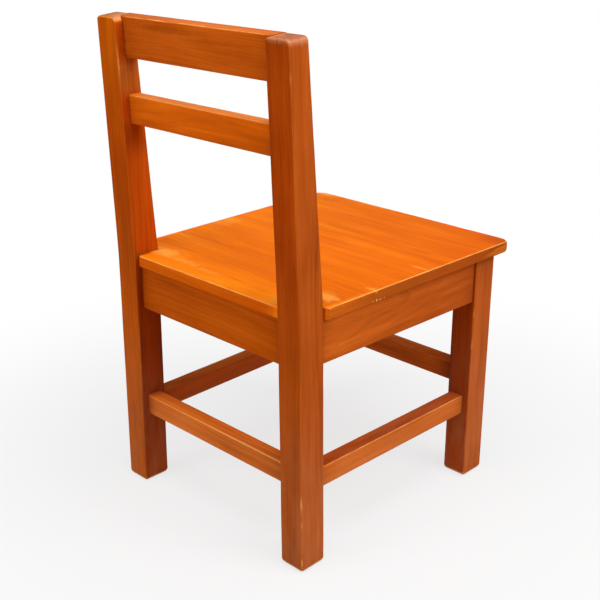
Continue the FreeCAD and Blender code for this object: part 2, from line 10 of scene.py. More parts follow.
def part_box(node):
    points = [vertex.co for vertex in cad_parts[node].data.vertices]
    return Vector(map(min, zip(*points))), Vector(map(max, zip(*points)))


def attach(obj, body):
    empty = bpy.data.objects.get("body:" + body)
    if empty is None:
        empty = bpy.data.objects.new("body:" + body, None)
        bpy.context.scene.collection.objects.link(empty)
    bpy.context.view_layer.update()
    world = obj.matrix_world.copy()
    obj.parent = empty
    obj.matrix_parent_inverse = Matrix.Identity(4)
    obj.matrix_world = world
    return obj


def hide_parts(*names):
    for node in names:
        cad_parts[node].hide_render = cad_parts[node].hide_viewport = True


bl_info = {
    "name": "Preschool chair",
    "version": (1, 0, 0),
    "blender": (4, 5, 0),
    "location": "3D View > Sidebar > Chair",
    "description": "Timbers, stain and studio of a small wooden chair for young children",
    "category": "Object",
}

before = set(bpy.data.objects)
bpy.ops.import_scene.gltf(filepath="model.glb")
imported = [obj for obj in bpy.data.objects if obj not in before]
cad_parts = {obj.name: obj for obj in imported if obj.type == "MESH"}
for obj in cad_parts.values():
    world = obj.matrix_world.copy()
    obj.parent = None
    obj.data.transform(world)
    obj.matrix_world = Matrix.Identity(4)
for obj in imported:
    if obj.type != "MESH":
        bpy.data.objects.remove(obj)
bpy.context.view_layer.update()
BOXES = {name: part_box(name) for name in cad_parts}


# Sizes, colours and studio values

def length(name, description, default):
    return FloatProperty(name=name, description=description, default=default, min=0.0,
                         precision=5, subtype="DISTANCE", unit="LENGTH")


def colour(name, description, default):
    return FloatVectorProperty(name=name, description=description, default=default, size=3,
                               min=0.0, max=1.0, subtype="COLOR")


def number(name, description, default):
    return FloatProperty(name=name, description=description, default=default, precision=4)


class ChairTimberSizes(bpy.types.PropertyGroup):
    """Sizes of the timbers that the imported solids' boxes do not give"""
    post_width: length("Post width", "Rear post, side to side", 0.032)
    post_depth: length("Post depth", "Rear post below the bend, front to back", 0.0345)
    post_top_depth: length("Post top depth", "Rear post at its top, front to back", 0.025)
    bend_height: length("Bend height", "Height of the bend in the rear posts", 0.291)
    bend_round_rear: length("Rear bend", "Radius of the bend on the rear face", 1.5)
    bend_round_front: length("Front bend", "Radius of the bend on the front face", 0.25)
    back_lean: length("Back lean", "How far the post tops stand behind the feet", 0.010)
    top_drop: length("Top drop", "Fall of the post top from front to rear", 0.0024)
    top_side_round: length("Top side round", "Side edges of the post top", 0.0056)
    top_edge_round: length("Top edge round", "Front and rear edges of the post top", 0.0026)
    post_arris: length("Post arris", "Long edges of posts and legs", 0.0022)
    foot_round: length("Foot round", "Edges of the feet", 0.0060)
    rail_arris: length("Rail arris", "Long edges of the rails", 0.0015)
    back_rail_thickness: length("Back rail", "Thickness of crest rail and back slat", 0.0165)
    back_rail_recess: length("Back rail recess", "Back rails in front of the posts' rear", 0.0095)
    seat_front_half: length("Seat front half", "Half the seat's width at its front edge", 0.1545)
    seat_ear_half: length("Seat ear half", "Half the seat's width beside the rear posts", 0.151)
    tongue_half: length("Tongue half", "Half the width of the seat between the rear posts", 0.11405)
    ear_gap: length("Ear gap", "Gap between the seat's ears and the rear posts", 0.0009)
    seat_arris: length("Seat arris", "Top edges of the seat", 0.0018)
    seat_under_arris: length("Seat underside arris", "Edges of the seat's underside", 0.0010)
    seat_blunt: length("Blunt corners", "Extra rounding of the seat's front corners", 0.0030)
    seat_corner: length("Seat corner", "Front corners seen from above", 0.010)
    seat_rear_corner: length("Seat rear corner", "Rear corners seen from above", 0.004)
    joint_groove: length("Joint groove", "Eased edge of a rail at a post or leg", 0.0006)
    surface_wave: length("Surface wave", "Hand-planed unevenness of the faces", 0.00007)
    arris_nick: length("Arris nick", "Depth of the knocks along the long edges", 0.0007)


class ChairFinish(bpy.types.PropertyGroup):
    """Colours of stain, wear and fittings"""
    frame_dark: colour("Frame dark", "Darkest streaks of the stained frame", (0.27, 0.040, 0.0016))
    frame_mid: colour("Frame middle", "Main colour of the stained frame", (0.50, 0.082, 0.0035))
    frame_light: colour("Frame light", "Lightest streaks of the stained frame",
                        (0.66, 0.130, 0.009))
    seat_dark: colour("Seat dark", "Darkest streaks of the stained seat", (0.66, 0.110, 0.002))
    seat_mid: colour("Seat middle", "Main colour of the stained seat", (0.82, 0.165, 0.002))
    seat_light: colour("Seat light", "Lightest streaks of the stained seat", (0.95, 0.250, 0.006))
    # The two rubbed colours are partly stain rubbed thin and partly a painted highlight along the
    # edges.
    rubbed_and_highlight: colour("Rubbed frame", "Stain rubbed thin on the frame's edges", (0.92, 0.36, 0.085))
    seat_rubbed_and_highlight: colour("Rubbed seat", "Stain rubbed thin on the seat's edges", (0.96, 0.51, 0.14))
    bare: colour("Bare wood", "Chips where the stain is gone", (0.90, 0.55, 0.24))
    end_light: colour("End grain light", "Light rings in the seat's ends", (0.58, 0.122, 0.010))
    end_dark: colour("End grain dark", "Dark rings in the seat's ends", (0.40, 0.078, 0.006))
    top_light: colour("Post top light", "Light rings of the rubbed post tops", (0.42, 0.138, 0.036))
    top_dark: colour("Post top dark", "Dark rings of the rubbed post tops", (0.23, 0.061, 0.011))
    dust: colour("Scuffs", "Dull scuffs low on legs and stretchers", (0.58, 0.24, 0.11))
    # The pooled colour is stain gathered in joints and checks, and also painted contact shade along
    # the seat's notch on the sitter's left.
    pooled_stain_and_shade: colour("Pooled stain", "Stain gathered in the joints", (0.16, 0.022, 0.002))
    glue: colour("Old glue", "Dried glue and thin stain on the seat", (0.95, 0.36, 0.055))
    raw_light: colour("Raw wood light", "Light grain of the unstained blocks", (0.66, 0.45, 0.26))
    raw_dark: colour("Raw wood dark", "Dark grain of the unstained blocks", (0.45, 0.27, 0.13))
    zinc: colour("Zinc", "Plated screws", (0.62, 0.60, 0.55))
    zinc_dull: colour("Dull zinc", "Dull spots on the screws", (0.36, 0.33, 0.27))
    roughness: number("Varnish roughness", "Roughness of the satin varnish", 0.46)


class ChairStudio(bpy.types.PropertyGroup):
    """Camera, lamps and floor"""
    azimuth: number("Azimuth", "Camera round the chair in degrees, 0 looks along +Y", 224.586)
    elevation: number("Elevation", "Camera above the horizon in degrees", 21.227)
    distance: length("Distance", "Camera from the point it looks at", 1.24833)
    target: FloatVectorProperty(name="Target", description="Point that the camera looks at", size=3,
                                default=(0.00947, 0.0095, 0.22614), precision=5,
                                subtype="TRANSLATION", unit="LENGTH")
    lens: number("Lens", "Focal length in millimetres on a 36 mm sensor", 63.08)
    overhead: number("Overhead lamp", "Power of the overhead soft box in watts", 26.0)
    side: number("Side lamp", "Power of the soft box on the sitter's right in watts", 21.5)
    rear: number("Rear lamp", "Power of the soft box behind the chair in watts", 13.5)
    sky: number("Room light", "Strength of the even light of the room", 0.16)
    floor: colour("Floor", "Plain pale floor", (0.68, 0.68, 0.675))


# Shader maths

# Patterns in the grain: how fine they are along and across it per millimetre, detail, roughness
PATTERNS = {
    "sway": (0.0032, 0.012, 2.0, 0.5),
    "ripple": (0.014, 0.085, 3.0, 0.5),
    "fibre": (0.028, 1.4, 4.0, 0.6),
    "thread": (0.012, 0.50, 3.0, 0.55),
    "streak": (0.0055, 0.17, 3.0, 0.55),
    "patch": (0.012, 0.036, 2.0, 0.5),
    "sweep": (0.0045, 0.052, 2.0, 0.5),
    "pores": (0.085, 2.4, 1.0, 0.5),
    "speckle": (0.05, 0.9, 3.0, 0.6),
    "scuffs": (0.016, 0.06, 4.0, 0.62),
    # the next two patterns break up the rubbed edges and their painted highlight
    "rub_and_highlight": (0.030, 0.05, 4.0, 0.65),
    "rub_and_highlight_streak": (0.055, 0.55, 2.0, 0.5),
    "chips": (0.11, 0.35, 3.0, 0.65),
    "crumbs": (0.30, 0.70, 3.0, 0.65),
    "gloss": (0.02, 0.09, 3.0, 0.5),
    "sawn_fibre": (0.03, 1.3, 4.0, 0.6),
    "saw": (0.9, 0.02, 2.0, 0.5),
}


class Shade:
    """A shader socket that takes part in Python arithmetic; every step adds a Math node."""

    def __init__(self, recipe, socket):
        self.recipe = recipe
        self.socket = socket

    def step(self, operation, *values):
        return self.recipe.add("ShaderNodeMath", {"operation": operation}, dict(enumerate(values)))

    def __add__(self, other):
        return self.step("ADD", self, other)

    __radd__ = __add__

    def __sub__(self, other):
        return self.step("SUBTRACT", self, other)

    def __rsub__(self, other):
        return self.step("SUBTRACT", other, self)

    def __mul__(self, other):
        return self.step("MULTIPLY", self, other)

    __rmul__ = __mul__

    def __truediv__(self, other):
        return self.step("DIVIDE", self, other)

    def __rtruediv__(self, other):
        return self.step("DIVIDE", other, self)

    def root(self):
        return self.step("SQRT", self)

    def whole(self):
        return self.step("FLOOR", self)

    def rest(self):
        return self.step("FRACT", self)

    def most(self, other):
        return self.step("MAXIMUM", self, other)

    def ramp(self, low, high):
        """0 below low, 1 above high, and a smooth rise between."""
        return self.recipe.add("ShaderNodeMapRange", {"interpolation_type": "SMOOTHSTEP"},
                               {0: self, 1: low, 2: high, 3: 0.0, 4: 1.0})


class Recipe:
    """The nodes of a material or of the room."""

    def __init__(self, block):
        block.use_nodes = True
        self.block = block
        self.tree = block.node_tree
        self.tree.nodes.clear()

    def add(self, kind, settings=None, sockets=None, output=0):
        """A node of a kind: its settings are set first, then its sockets are filled or linked."""
        node = self.tree.nodes.new(kind)
        for key, value in (settings or {}).items():
            if key == "stops":
                self.set_stops(node.color_ramp, value)
            else:
                setattr(node, key, value)
        for key, value in (sockets or {}).items():
            if isinstance(value, Shade):
                self.tree.links.new(value.socket, node.inputs[key])
            else:
                node.inputs[key].default_value = value
        return Shade(self, node.outputs[output]) if node.outputs else node

    @staticmethod
    def set_stops(ramp, stops):
        while len(ramp.elements) < len(stops):
            ramp.elements.new(0.5)
        for element, (place, shade) in zip(ramp.elements, stops):
            element.position = place
            element.color = (*shade, 1.0)

    def layer(self, name, output=2):
        """A value painted on the mesh."""
        return self.add("ShaderNodeAttribute", {"attribute_name": name}, output=output)

    def stretch(self, vector, scale):
        return self.add("ShaderNodeVectorMath", {"operation": "MULTIPLY"}, {0: vector, 1: scale})

    def cloud(self, vector, scale, detail=2.0, roughness=0.5):
        """Smooth noise about 0.5, stretched differently along each axis."""
        return self.add("ShaderNodeTexNoise", None, {
            "Vector": self.stretch(vector, scale), "Scale": 1.0,
            "Detail": detail, "Roughness": roughness,
        })

    def pattern(self, grain, name):
        """One of the patterns in the grain, about 0.5."""
        along, across, detail, roughness = PATTERNS[name]
        return self.cloud(grain, (along, across, across), detail, roughness)

    def wave(self, grain, name):
        """One of the patterns in the grain, about 0."""
        return self.pattern(grain, name) - 0.5

    def place(self):
        """Where the point lies on its object."""
        return self.add("ShaderNodeTexCoord", output=3)

    def reach(self, vector):
        return self.add("ShaderNodeVectorMath", {"operation": "LENGTH"}, {0: vector}, output=1)

    def scale_of_colours(self, value, *stops):
        return self.add("ShaderNodeValToRGB", {"stops": stops}, {0: value})

    def mix(self, share, first, second, blend="MIX"):
        return self.add("ShaderNodeMix", {"data_type": "RGBA", "blend_type": blend},
                        {0: share, 6: self.paint(first), 7: self.paint(second)}, output=2)

    @staticmethod
    def paint(value):
        return value if isinstance(value, Shade) else (*value[:3], 1.0)

    def parts(self, vector):
        """The three numbers of a vector."""
        node = self.add("ShaderNodeSeparateXYZ", None, {0: vector}).socket.node
        return [Shade(self, socket) for socket in node.outputs]

    def seen(self):
        """1 for what the camera sees straight, mirrored or through glass."""
        rays = self.add("ShaderNodeLightPath").socket.node.outputs
        names = ("Is Camera Ray", "Is Glossy Ray", "Is Transmission Ray")
        straight, mirrored, through = (Shade(self, rays[name]) for name in names)
        return straight.most(mirrored).most(through)

    def surface(self, sockets):
        shader = self.add("ShaderNodeBsdfPrincipled", None, sockets)
        self.add("ShaderNodeOutputMaterial", None, {"Surface": shader})
        return self.block


def new_material(name):
    return Recipe(bpy.data.materials.new(name))


def rings_of_growth(recipe, grain, spacing, wander):
    """Dark late wood of the growth rings round a pith that lies off the timber."""
    across, through = recipe.parts(grain)[1:]
    sway, ripple = recipe.wave(grain, "sway"), recipe.wave(grain, "ripple")
    radius = (across * across + through * through).root()
    turn = (radius + sway * wander + ripple * (0.12 * wander)) / spacing
    place = turn.rest()
    depth = recipe.add("ShaderNodeTexWhiteNoise", {"noise_dimensions": "1D"}, {"W": turn.whole()})
    return place.ramp(0.30, 0.92) * (1.0 - place.ramp(0.92, 1.0)) * (depth * 0.7 + 0.3)


def stained_wood(name, stain, ends, rub_and_highlight_shade, spacing, wander, figure, rub_and_highlight, sheen, marks):
    """Stained and varnished wood with grain along the timber, end grain, wear with a painted
    highlight along the edges, and pooled stain.

    stain is its dark, middle and light colour and ends the two of its end grain; spacing and wander
    are the growth rings' in millimetres, figure their strength, rub_and_highlight the least wear
    and painted highlight of an edge.
    """
    finish = bpy.context.scene.chair_finish
    dark, mid, light = stain
    recipe = new_material(name)
    grain = recipe.layer("grain", 1)
    tint = recipe.layer("tint", 1)
    arris = recipe.layer("wear")
    pool = recipe.layer("pool")
    cut = recipe.layer("cut")
    late = rings_of_growth(recipe, grain, spacing, wander)
    fibre, thread, streak, patch, sweep = (
        recipe.wave(grain, kind) for kind in ("fibre", "thread", "streak", "patch", "sweep"))
    tone = 0.54 + streak * 0.46 + thread * 0.30 + fibre * 0.26
    tone = tone + patch * 0.45 + sweep * 0.60 - late * figure
    base = recipe.scale_of_colours(tone, (0.10, dark), (0.52, mid), (0.92, light))
    pores = recipe.pattern(grain, "pores").ramp(0.64, 0.74)
    base = recipe.mix(pores * 0.22, base, dark)
    # end grain
    across_grain = 0.55 - late * 0.25 + recipe.wave(grain, "speckle") * 0.55 + patch * 0.4
    end_grain = recipe.scale_of_colours(across_grain, (0.10, ends[0]), (0.80, ends[1]))
    base = recipe.mix(cut.ramp(0.45, 0.85), base, end_grain)
    # the tint painted on the mesh: uneven stain, with painted shade and painted light where the
    # tint functions put them
    base = recipe.mix(1.0, base, tint, "MULTIPLY")
    # dull scuffs low down
    low_down = 1.0 - recipe.parts(recipe.place())[2].ramp(0.04, 0.24)
    scuffs = recipe.pattern(grain, "scuffs").ramp(0.12, 0.88)
    base = recipe.mix(low_down * scuffs * 0.34, base, finish.dust)
    # stain gathered in the joints
    base = recipe.mix(pool * 0.75, base, finish.pooled_stain_and_shade)
    # edges rubbed thin with a painted highlight along them, and chips down to the bare wood
    uneven = recipe.pattern(grain, "rub_and_highlight") * 0.6 + recipe.pattern(grain, "rub_and_highlight_streak") * 0.4
    rubbed_and_highlight = arris.ramp(0.35, 1.0) * (uneven.ramp(0.36, 0.66) * (1.0 - rub_and_highlight) + rub_and_highlight)
    base = recipe.mix(rubbed_and_highlight * 0.80, base, rub_and_highlight_shade)
    chips = arris.ramp(0.45, 0.90) * recipe.pattern(grain, "chips").ramp(0.685, 0.715)
    knocked = arris.ramp(1.02, 1.35) * recipe.pattern(grain, "crumbs").ramp(0.48, 0.56)
    chips = chips.most(knocked)
    base = recipe.mix(chips * 0.75, base, finish.bare)
    for shade, strength, mask in (mark(recipe) for mark in marks):
        base = recipe.mix(mask * strength, base, shade)
    gloss = recipe.pattern(grain, "gloss")
    roughness = finish.roughness - 0.09 + gloss * 0.18 + chips * 0.2 + cut * 0.08
    relief = fibre * 0.5 - pores * 0.8 - late * 0.2 - chips * 1.2
    normal = recipe.add("ShaderNodeBump", None,
                        {"Strength": 0.30, "Distance": 0.0002, "Height": relief})
    return recipe.surface({
        "Base Color": base, "Roughness": roughness, "Normal": normal, "Specular IOR Level": sheen,
        "Specular Tint": (1.0, 0.80, 0.55, 1.0),
    })


def smear(centre, reach, ragged, shade, strength):
    """A mark on the surface: an ellipsoid with a ragged edge, brushed out across the chair."""
    def mark(recipe):
        place = recipe.place()
        moved = recipe.add("ShaderNodeMapping", {"vector_type": "TEXTURE"},
                           {"Vector": place, "Location": centre, "Scale": reach})
        blotch = recipe.cloud(place, (95.0, 140.0, 90.0), 3.0, 0.6) - 0.5
        brushed = recipe.cloud(place, (45.0, 480.0, 200.0), 4.0, 0.6) - 0.5
        away = recipe.reach(moved) + blotch * (1.6 * ragged) + brushed * ragged
        return shade, strength, 1.0 - away.ramp(0.28, 1.05)
    return mark


# Timbers as meshes

ALONG_X, ALONG_Y, ALONG_Z = range(3)  # which way the grain of a timber runs
MILLIMETRES = 1000.0  # in a metre
STEP = 0.008  # between the rings of points along a timber
NEAR_EDGE, FAR_EDGE = 0.0022, 0.006  # extra rows of points beside a rounded edge
NEAR_MOST, FAR_MOST = 0.18, 0.34  # and how far across a narrow face they may lie
ARRIS_STEPS = 4  # points round an edge
ARRIS_WEAR_AND_HIGHLIGHT = (0.12, 0.65, 1.0, 0.65, 0.12)  # wear and painted highlight across it
CLOSE, SAME = 1e-5, 1e-6  # nearer than this, two rings or two places are one
CAP_RIM, CAP_MOST = 0.002, 0.5  # rim of points on a timber's end, and how far in it may lie
CAP_WEAR = 0.15  # share of an end's wear that goes on over its rim
SHARP = math.radians(40)  # edges sharper than this are not shaded smooth
POOL_LINE, POOL_SPREAD = 0.0022, 0.013  # how far from a joint the stain pools, darkly and faintly
POOL_FAINT = 0.52  # strength of the faint pooling
POOL_LESS = 0.6  # share of it that is missing on the top of a rail
CLEAN_JOINT = 0.006  # how far from a joint an edge stays unworn
WAVES, KNOCKS = 34.0, 46.0  # unevenness of faces and of edges, per metre
EDGES_APART = (3.1, 2.3)  # keeps the knocks of one edge unlike those of the next
NICK_FROM = 0.12  # noise above this nicks an edge
HIT_WEAR = 1.5  # wear where an edge is knocked hardest
UNDERSIDE = -0.3  # a point that looks further down than this lies on the underside
LOG_STEP = 173.0  # millimetres of grain for each step of a timber's shift
LAYERS = {  # what is painted on the mesh for the stain, wear, painted highlights and painted shade
    "grain": "FLOAT_VECTOR", "tint": "FLOAT_VECTOR",
    "wear": "FLOAT", "pool": "FLOAT", "cut": "FLOAT",
}


def spread(low, high, step):
    count = max(1, round((high - low) / step))
    return [low + (high - low) * i / count for i in range(count + 1)]


def between(low, high, share):
    return low + (high - low) * share


def eased(radius, depth):
    """How far a rounded edge stands in at a depth below the end of a timber."""
    if depth >= radius:
        return 0.0
    return radius - math.sqrt(radius ** 2 - (radius - max(0.0, depth)) ** 2)


class End:
    """End of a timber: how its four edges are rounded, and whether it meets another timber."""

    def __init__(self, first=(0.0, 0.0), second=(0.0, 0.0), joined=False, worn=1.0,
                 rim=(0.42, 0.55)):
        self.first = first
        self.second = second
        self.joined = joined
        self.worn = worn
        self.rim = rim  # where on the rounding it is worn, and how broadly
        self.rounds = sorted({r for r in (*first, *second) if r > 0})

    def depths(self):
        found = {0.0}
        for radius in self.rounds:
            found.update(radius * (1 - math.sin(math.radians(90 * turn / ARRIS_STEPS)))
                         for turn in range(ARRIS_STEPS + 1))
            found.update((radius + NEAR_EDGE, radius + FAR_EDGE))
        return found

    def rounding(self, out_first, out_second):
        """Radius of the rounding on the side that a surface point faces."""
        first = self.first[1] if out_first > 0 else self.first[0]
        second = self.second[1] if out_second > 0 else self.second[0]
        return abs(out_first) * first + abs(out_second) * second


def worn_foot(sizes):
    """Foot of a post or leg, worn most on the upper half of its rounding."""
    both = (sizes.foot_round, sizes.foot_round)
    return End(both, both, worn=1.2, rim=(0.62, 0.40))


def stations(total, start, end, step=STEP):
    """Places along a timber: close together at rounded ends, even between them."""
    near = start.depths()
    far = {total - depth for depth in end.depths()}
    found = sorted(near | far | set(spread(max(near), min(far), step)))
    kept = found[:1]
    for place in found[1:]:
        if place - kept[-1] > CLOSE:
            kept.append(place)
    return kept


def section(low, high, rounds, worn, inside):
    """Points round a squared section: place, outward direction and exposure to wear and painted
    highlight.

    rounds and worn go round the corners (high, high), (low, high), (low, low), (high, low);
    inside is how many points lie in the middle of each pair of faces.
    """
    arcs = []
    for i, (at_high_first, at_high_second) in enumerate(((1, 1), (0, 1), (0, 0), (1, 0))):
        radius = rounds[i]
        first = high[0] - radius if at_high_first else low[0] + radius
        second = high[1] - radius if at_high_second else low[1] + radius
        arc = []
        for turn in range(ARRIS_STEPS + 1):
            angle = math.radians(90 * (i + turn / ARRIS_STEPS))
            out = (math.cos(angle), math.sin(angle))
            bare = worn[i] * ARRIS_WEAR_AND_HIGHLIGHT[turn]
            arc.append((first + radius * out[0], second + radius * out[1], *out, bare))
        arcs.append(arc)
    points = []
    for i, arc in enumerate(arcs):
        points.extend(arc)
        start, stop = arc[-1], arcs[(i + 1) % 4][0]
        span = math.hypot(stop[0] - start[0], stop[1] - start[1])
        near, far = min(NEAR_EDGE / span, NEAR_MOST), min(FAR_EDGE / span, FAR_MOST)
        count = inside[i % 2]
        shares = [near, far]
        shares += [between(far, 1 - far, (k + 1) / (count + 1)) for k in range(count)]
        shares += [1 - far, 1 - near]
        for share in shares:
            points.append((between(start[0], stop[0], share), between(start[1], stop[1], share),
                           arc[-1][2], arc[-1][3], 0.0))
    return points


class Timber:
    """One piece of wood, gathered ring by ring and then made into an object."""

    def __init__(self, node, pith, shift, tint=None, knocks=None, corner_wear=1.0, under_wear=1.0):
        self.node = node
        self.pith = pith
        self.shift = shift
        self.tint = tint or (lambda here, out_first, out_second: PLAIN)
        self.knocks = knocks or (lambda here, out_first, out_second: 0.0)
        self.corner_wear = corner_wear
        self.under_wear = under_wear
        self.sizes = bpy.context.scene.chair_sizes
        self.rings = []
        self.layers = {name: [] for name in LAYERS}

    def ring(self, place, axis, along, points, start_depth, start, end_depth, end):
        """Adds one ring; place turns (along, first, second) into a point."""
        made = []
        for first, second, out_first, out_second, bare in points:
            here = place(along, first, second)
            move = self.sizes.surface_wave * noise.noise(here * WAVES + Vector((self.shift, 0, 0)))
            edge_spot = (here[axis] * KNOCKS, EDGES_APART[0] * out_first,
                         self.shift + EDGES_APART[1] * out_second)
            nick = max(0.0, noise.noise(Vector(edge_spot)) - NICK_FROM)
            hit = self.knocks(here, out_first, out_second)
            move -= self.sizes.arris_nick * (bare * nick + hit)
            made.append(place(along, first + out_first * move, second + out_second * move))
            cut, edge, pool, fade = 0.0, 0.0, 0.0, 1.0
            for depth, finish in ((start_depth, start), (end_depth, end)):
                if finish.joined:
                    pool = max(pool, math.exp(-depth / POOL_LINE),
                               POOL_FAINT * math.exp(-depth / POOL_SPREAD))
                    fade = min(fade, 1.0 - math.exp(-depth / CLEAN_JOINT))
                    continue
                radius = finish.rounding(out_first, out_second)
                if radius > 0:
                    cut = max(cut, (radius - depth) / radius)
                    rim, band = finish.rim
                    edge = max(edge, finish.worn * (1.0 - abs(depth / radius - rim) / band))
                elif depth < SAME:
                    cut = 1.0
            pool *= 1.0 - POOL_LESS * max(0.0, out_second)
            edge *= between(self.corner_wear, 1.0, abs(out_second))
            edge *= self.under_wear if out_second < UNDERSIDE else 1.0
            self.layers["grain"].append(self.grain_at(here, axis))
            self.layers["tint"].append(self.tint(here, out_first, out_second))
            self.layers["wear"].append(max(bare * fade, edge, HIT_WEAR * hit))
            self.layers["pool"].append(pool)
            self.layers["cut"].append(max(0.0, cut))
        self.rings.append(made)

    def grain_at(self, here, axis):
        """Millimetres along, across and through the timber, counted from its pith."""
        across, through = (i for i in range(3) if i != axis)
        return (here[axis] * MILLIMETRES + self.shift * LOG_STEP,
                here[across] * MILLIMETRES + self.pith[0],
                here[through] * MILLIMETRES + self.pith[1])

    def loft(self, total, start, end, outline, place, axis, worn):
        """Rings along the whole timber; outline(along) gives the section's low, high and radii."""
        for along in stations(total, start, end):
            low, high, rounds = outline(along)
            depths = (along, total - along)
            low, high = list(low), list(high)
            for depth, finish in zip(depths, (start, end)):
                low[0] += eased(finish.first[0], depth)
                high[0] -= eased(finish.first[1], depth)
                low[1] += eased(finish.second[0], depth)
                high[1] -= eased(finish.second[1], depth)
            points = section(low, high, rounds, worn, (1, 1))
            self.ring(place, axis, along, points, depths[0], start, depths[1], end)

    def cap(self, mesh, ring, at_start):
        """Closes an end with a narrow rim and one flat face."""
        middle = sum((v.co for v in ring), Vector()) / len(ring)
        span = min((v.co - middle).length for v in ring)
        inward = min(CAP_MOST, CAP_RIM / span)
        inner = [mesh.verts.new(v.co + (middle - v.co) * inward) for v in ring]
        for i in range(len(ring)):
            j = (i + 1) % len(ring)
            mesh.faces.new((ring[i], ring[j], inner[j], inner[i]))
        mesh.faces.new(inner[::-1] if at_start else inner)
        offset = 0 if at_start else (len(self.rings) - 1) * len(ring)
        for name, values in self.layers.items():
            rim = values[offset:offset + len(ring)]
            if name == "wear":
                rim = [CAP_WEAR * value for value in rim]
            if name == "cut":
                rim = [float(max(rim) > 0)] * len(rim)
            values.extend(rim)

    def finish(self, material, slot):
        """Makes the object, paints its layers and puts it in the place of its solid."""
        mesh = bmesh.new()
        rings = [[mesh.verts.new(point) for point in ring] for ring in self.rings]
        count = len(rings[0])
        for one, two in zip(rings, rings[1:]):
            for i in range(count):
                j = (i + 1) % count
                mesh.faces.new((one[i], one[j], two[j], two[i]))
        self.cap(mesh, rings[0], True)
        self.cap(mesh, rings[-1], False)
        bmesh.ops.recalc_face_normals(mesh, faces=mesh.faces)
        data = bpy.data.meshes.new("timber_" + self.node)
        mesh.to_mesh(data)
        mesh.free()
        for name, values in self.layers.items():
            layer = data.attributes.new(name, LAYERS[name], "POINT")
            if LAYERS[name] == "FLOAT":
                layer.data.foreach_set("value", values)
            else:
                layer.data.foreach_set("vector", [number for value in values for number in value])
        data.shade_smooth()
        data.set_sharp_from_angle(angle=SHARP)
        data.materials.append(material)
        piece = bpy.data.objects.new("timber_" + self.node, data)
        bpy.context.scene.collection.objects.link(piece)
        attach(piece, "root")
        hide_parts(self.node)


# Faces of the frame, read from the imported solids

PostLines = namedtuple("PostLines", "outer lean front top")


def post_lines():
    """Outer face at the floor, lean per height, front face and height of the rear posts."""
    sizes = bpy.context.scene.chair_sizes
    low, high = BOXES["rear_post_left"]
    return PostLines(high.x, (high.x - sizes.post_width - low.x) / high.z, low.y, high.z)


def post_inner(height):
    lines = post_lines()
    return lines.outer - lines.lean * height - bpy.context.scene.chair_sizes.post_width


def bent(height, start, bend, rise, reach, radius):
    """Face of a post that stands upright to the bend and leans back above it."""
    slope = rise / reach
    tangent = radius * math.tan(math.atan(slope) / 2)
    if height <= bend - tangent:
        return start
    if height >= bend + tangent:
        return start + slope * (height - bend)
    return start + (height - bend + tangent) ** 2 / (2 * radius)


def post_rear(height):
    sizes = bpy.context.scene.chair_sizes
    lines = post_lines()
    reach = lines.top - sizes.top_drop - sizes.bend_height
    return bent(height, lines.front + sizes.post_depth, sizes.bend_height, sizes.back_lean, reach,
                sizes.bend_round_rear)


def post_front(height):
    sizes = bpy.context.scene.chair_sizes
    lines = post_lines()
    rise = sizes.post_depth + sizes.back_lean - sizes.post_top_depth
    return bent(height, lines.front, sizes.bend_height, rise, lines.top - sizes.bend_height,
                sizes.bend_round_front)


MARK_DEPTH = 0.004  # how far a mark on a face reaches through it
CREST_FACE, CREST_DEPTH = 0.168, 0.006  # middle of the crest's rear face, and reach of its streaks
CHIPPED_END = -0.1525  # the seat's end where it is chipped


def frame_wood():
    """Wood of posts, legs and rails, made once."""
    made = bpy.data.materials.get("stained_frame_wood")
    if made:
        return made
    finish = bpy.context.scene.chair_finish
    edge = BOXES["rear_stretcher"][1] - Vector((0, 0.0005, 0.0005))

    def on_crest(x, z, reach_x, reach_z, shade, strength):
        return smear((x, CREST_FACE, z), (reach_x, CREST_DEPTH, reach_z), 0.9, shade, strength)

    marks = (
        # painted highlight along the rear stretcher's upper edge, partly stain rubbed by shoes
        smear((-0.045, edge.y, edge.z), (0.125, 0.0016, 0.0016), 0.35, finish.rubbed_and_highlight, 0.95),
        # scuffs and small checks on the tops of the posts
        smear((-0.128, 0.178, 0.5572), (0.022, 0.005, 0.0055), 0.8, finish.dust, 0.50),
        smear((-0.128, 0.178, 0.552), (0.0009, 0.006, 0.0075), 0.25, finish.pooled_stain_and_shade, 0.6),
        smear((0.127, 0.178, 0.556), (0.0009, 0.006, 0.0050), 0.25, finish.pooled_stain_and_shade, 0.6),
        smear((-0.1437, 0.166, 0.5560), (0.004, 0.018, 0.0062), 0.9, finish.dust, 0.62),
        # streaks on the crest rail
        on_crest(0.036, 0.5495, 0.070, 0.0045, finish.frame_dark, 0.30),
        on_crest(-0.040, 0.5440, 0.060, 0.0030, finish.frame_dark, 0.22),
        on_crest(-0.060, 0.5365, 0.050, 0.0030, finish.frame_dark, 0.18),
        on_crest(0.080, 0.5290, 0.060, 0.0055, finish.frame_light, 0.36),
        on_crest(-0.020, 0.5210, 0.080, 0.0035, finish.frame_light, 0.36),
    )
    stain = (finish.frame_dark, finish.frame_mid, finish.frame_light)
    return stained_wood("stained_frame_wood", stain, (finish.top_dark, finish.top_light),
                        finish.rubbed_and_highlight, spacing=3.4, wander=30.0, figure=0.13, rub_and_highlight=0.28, sheen=0.01,
                        marks=marks)


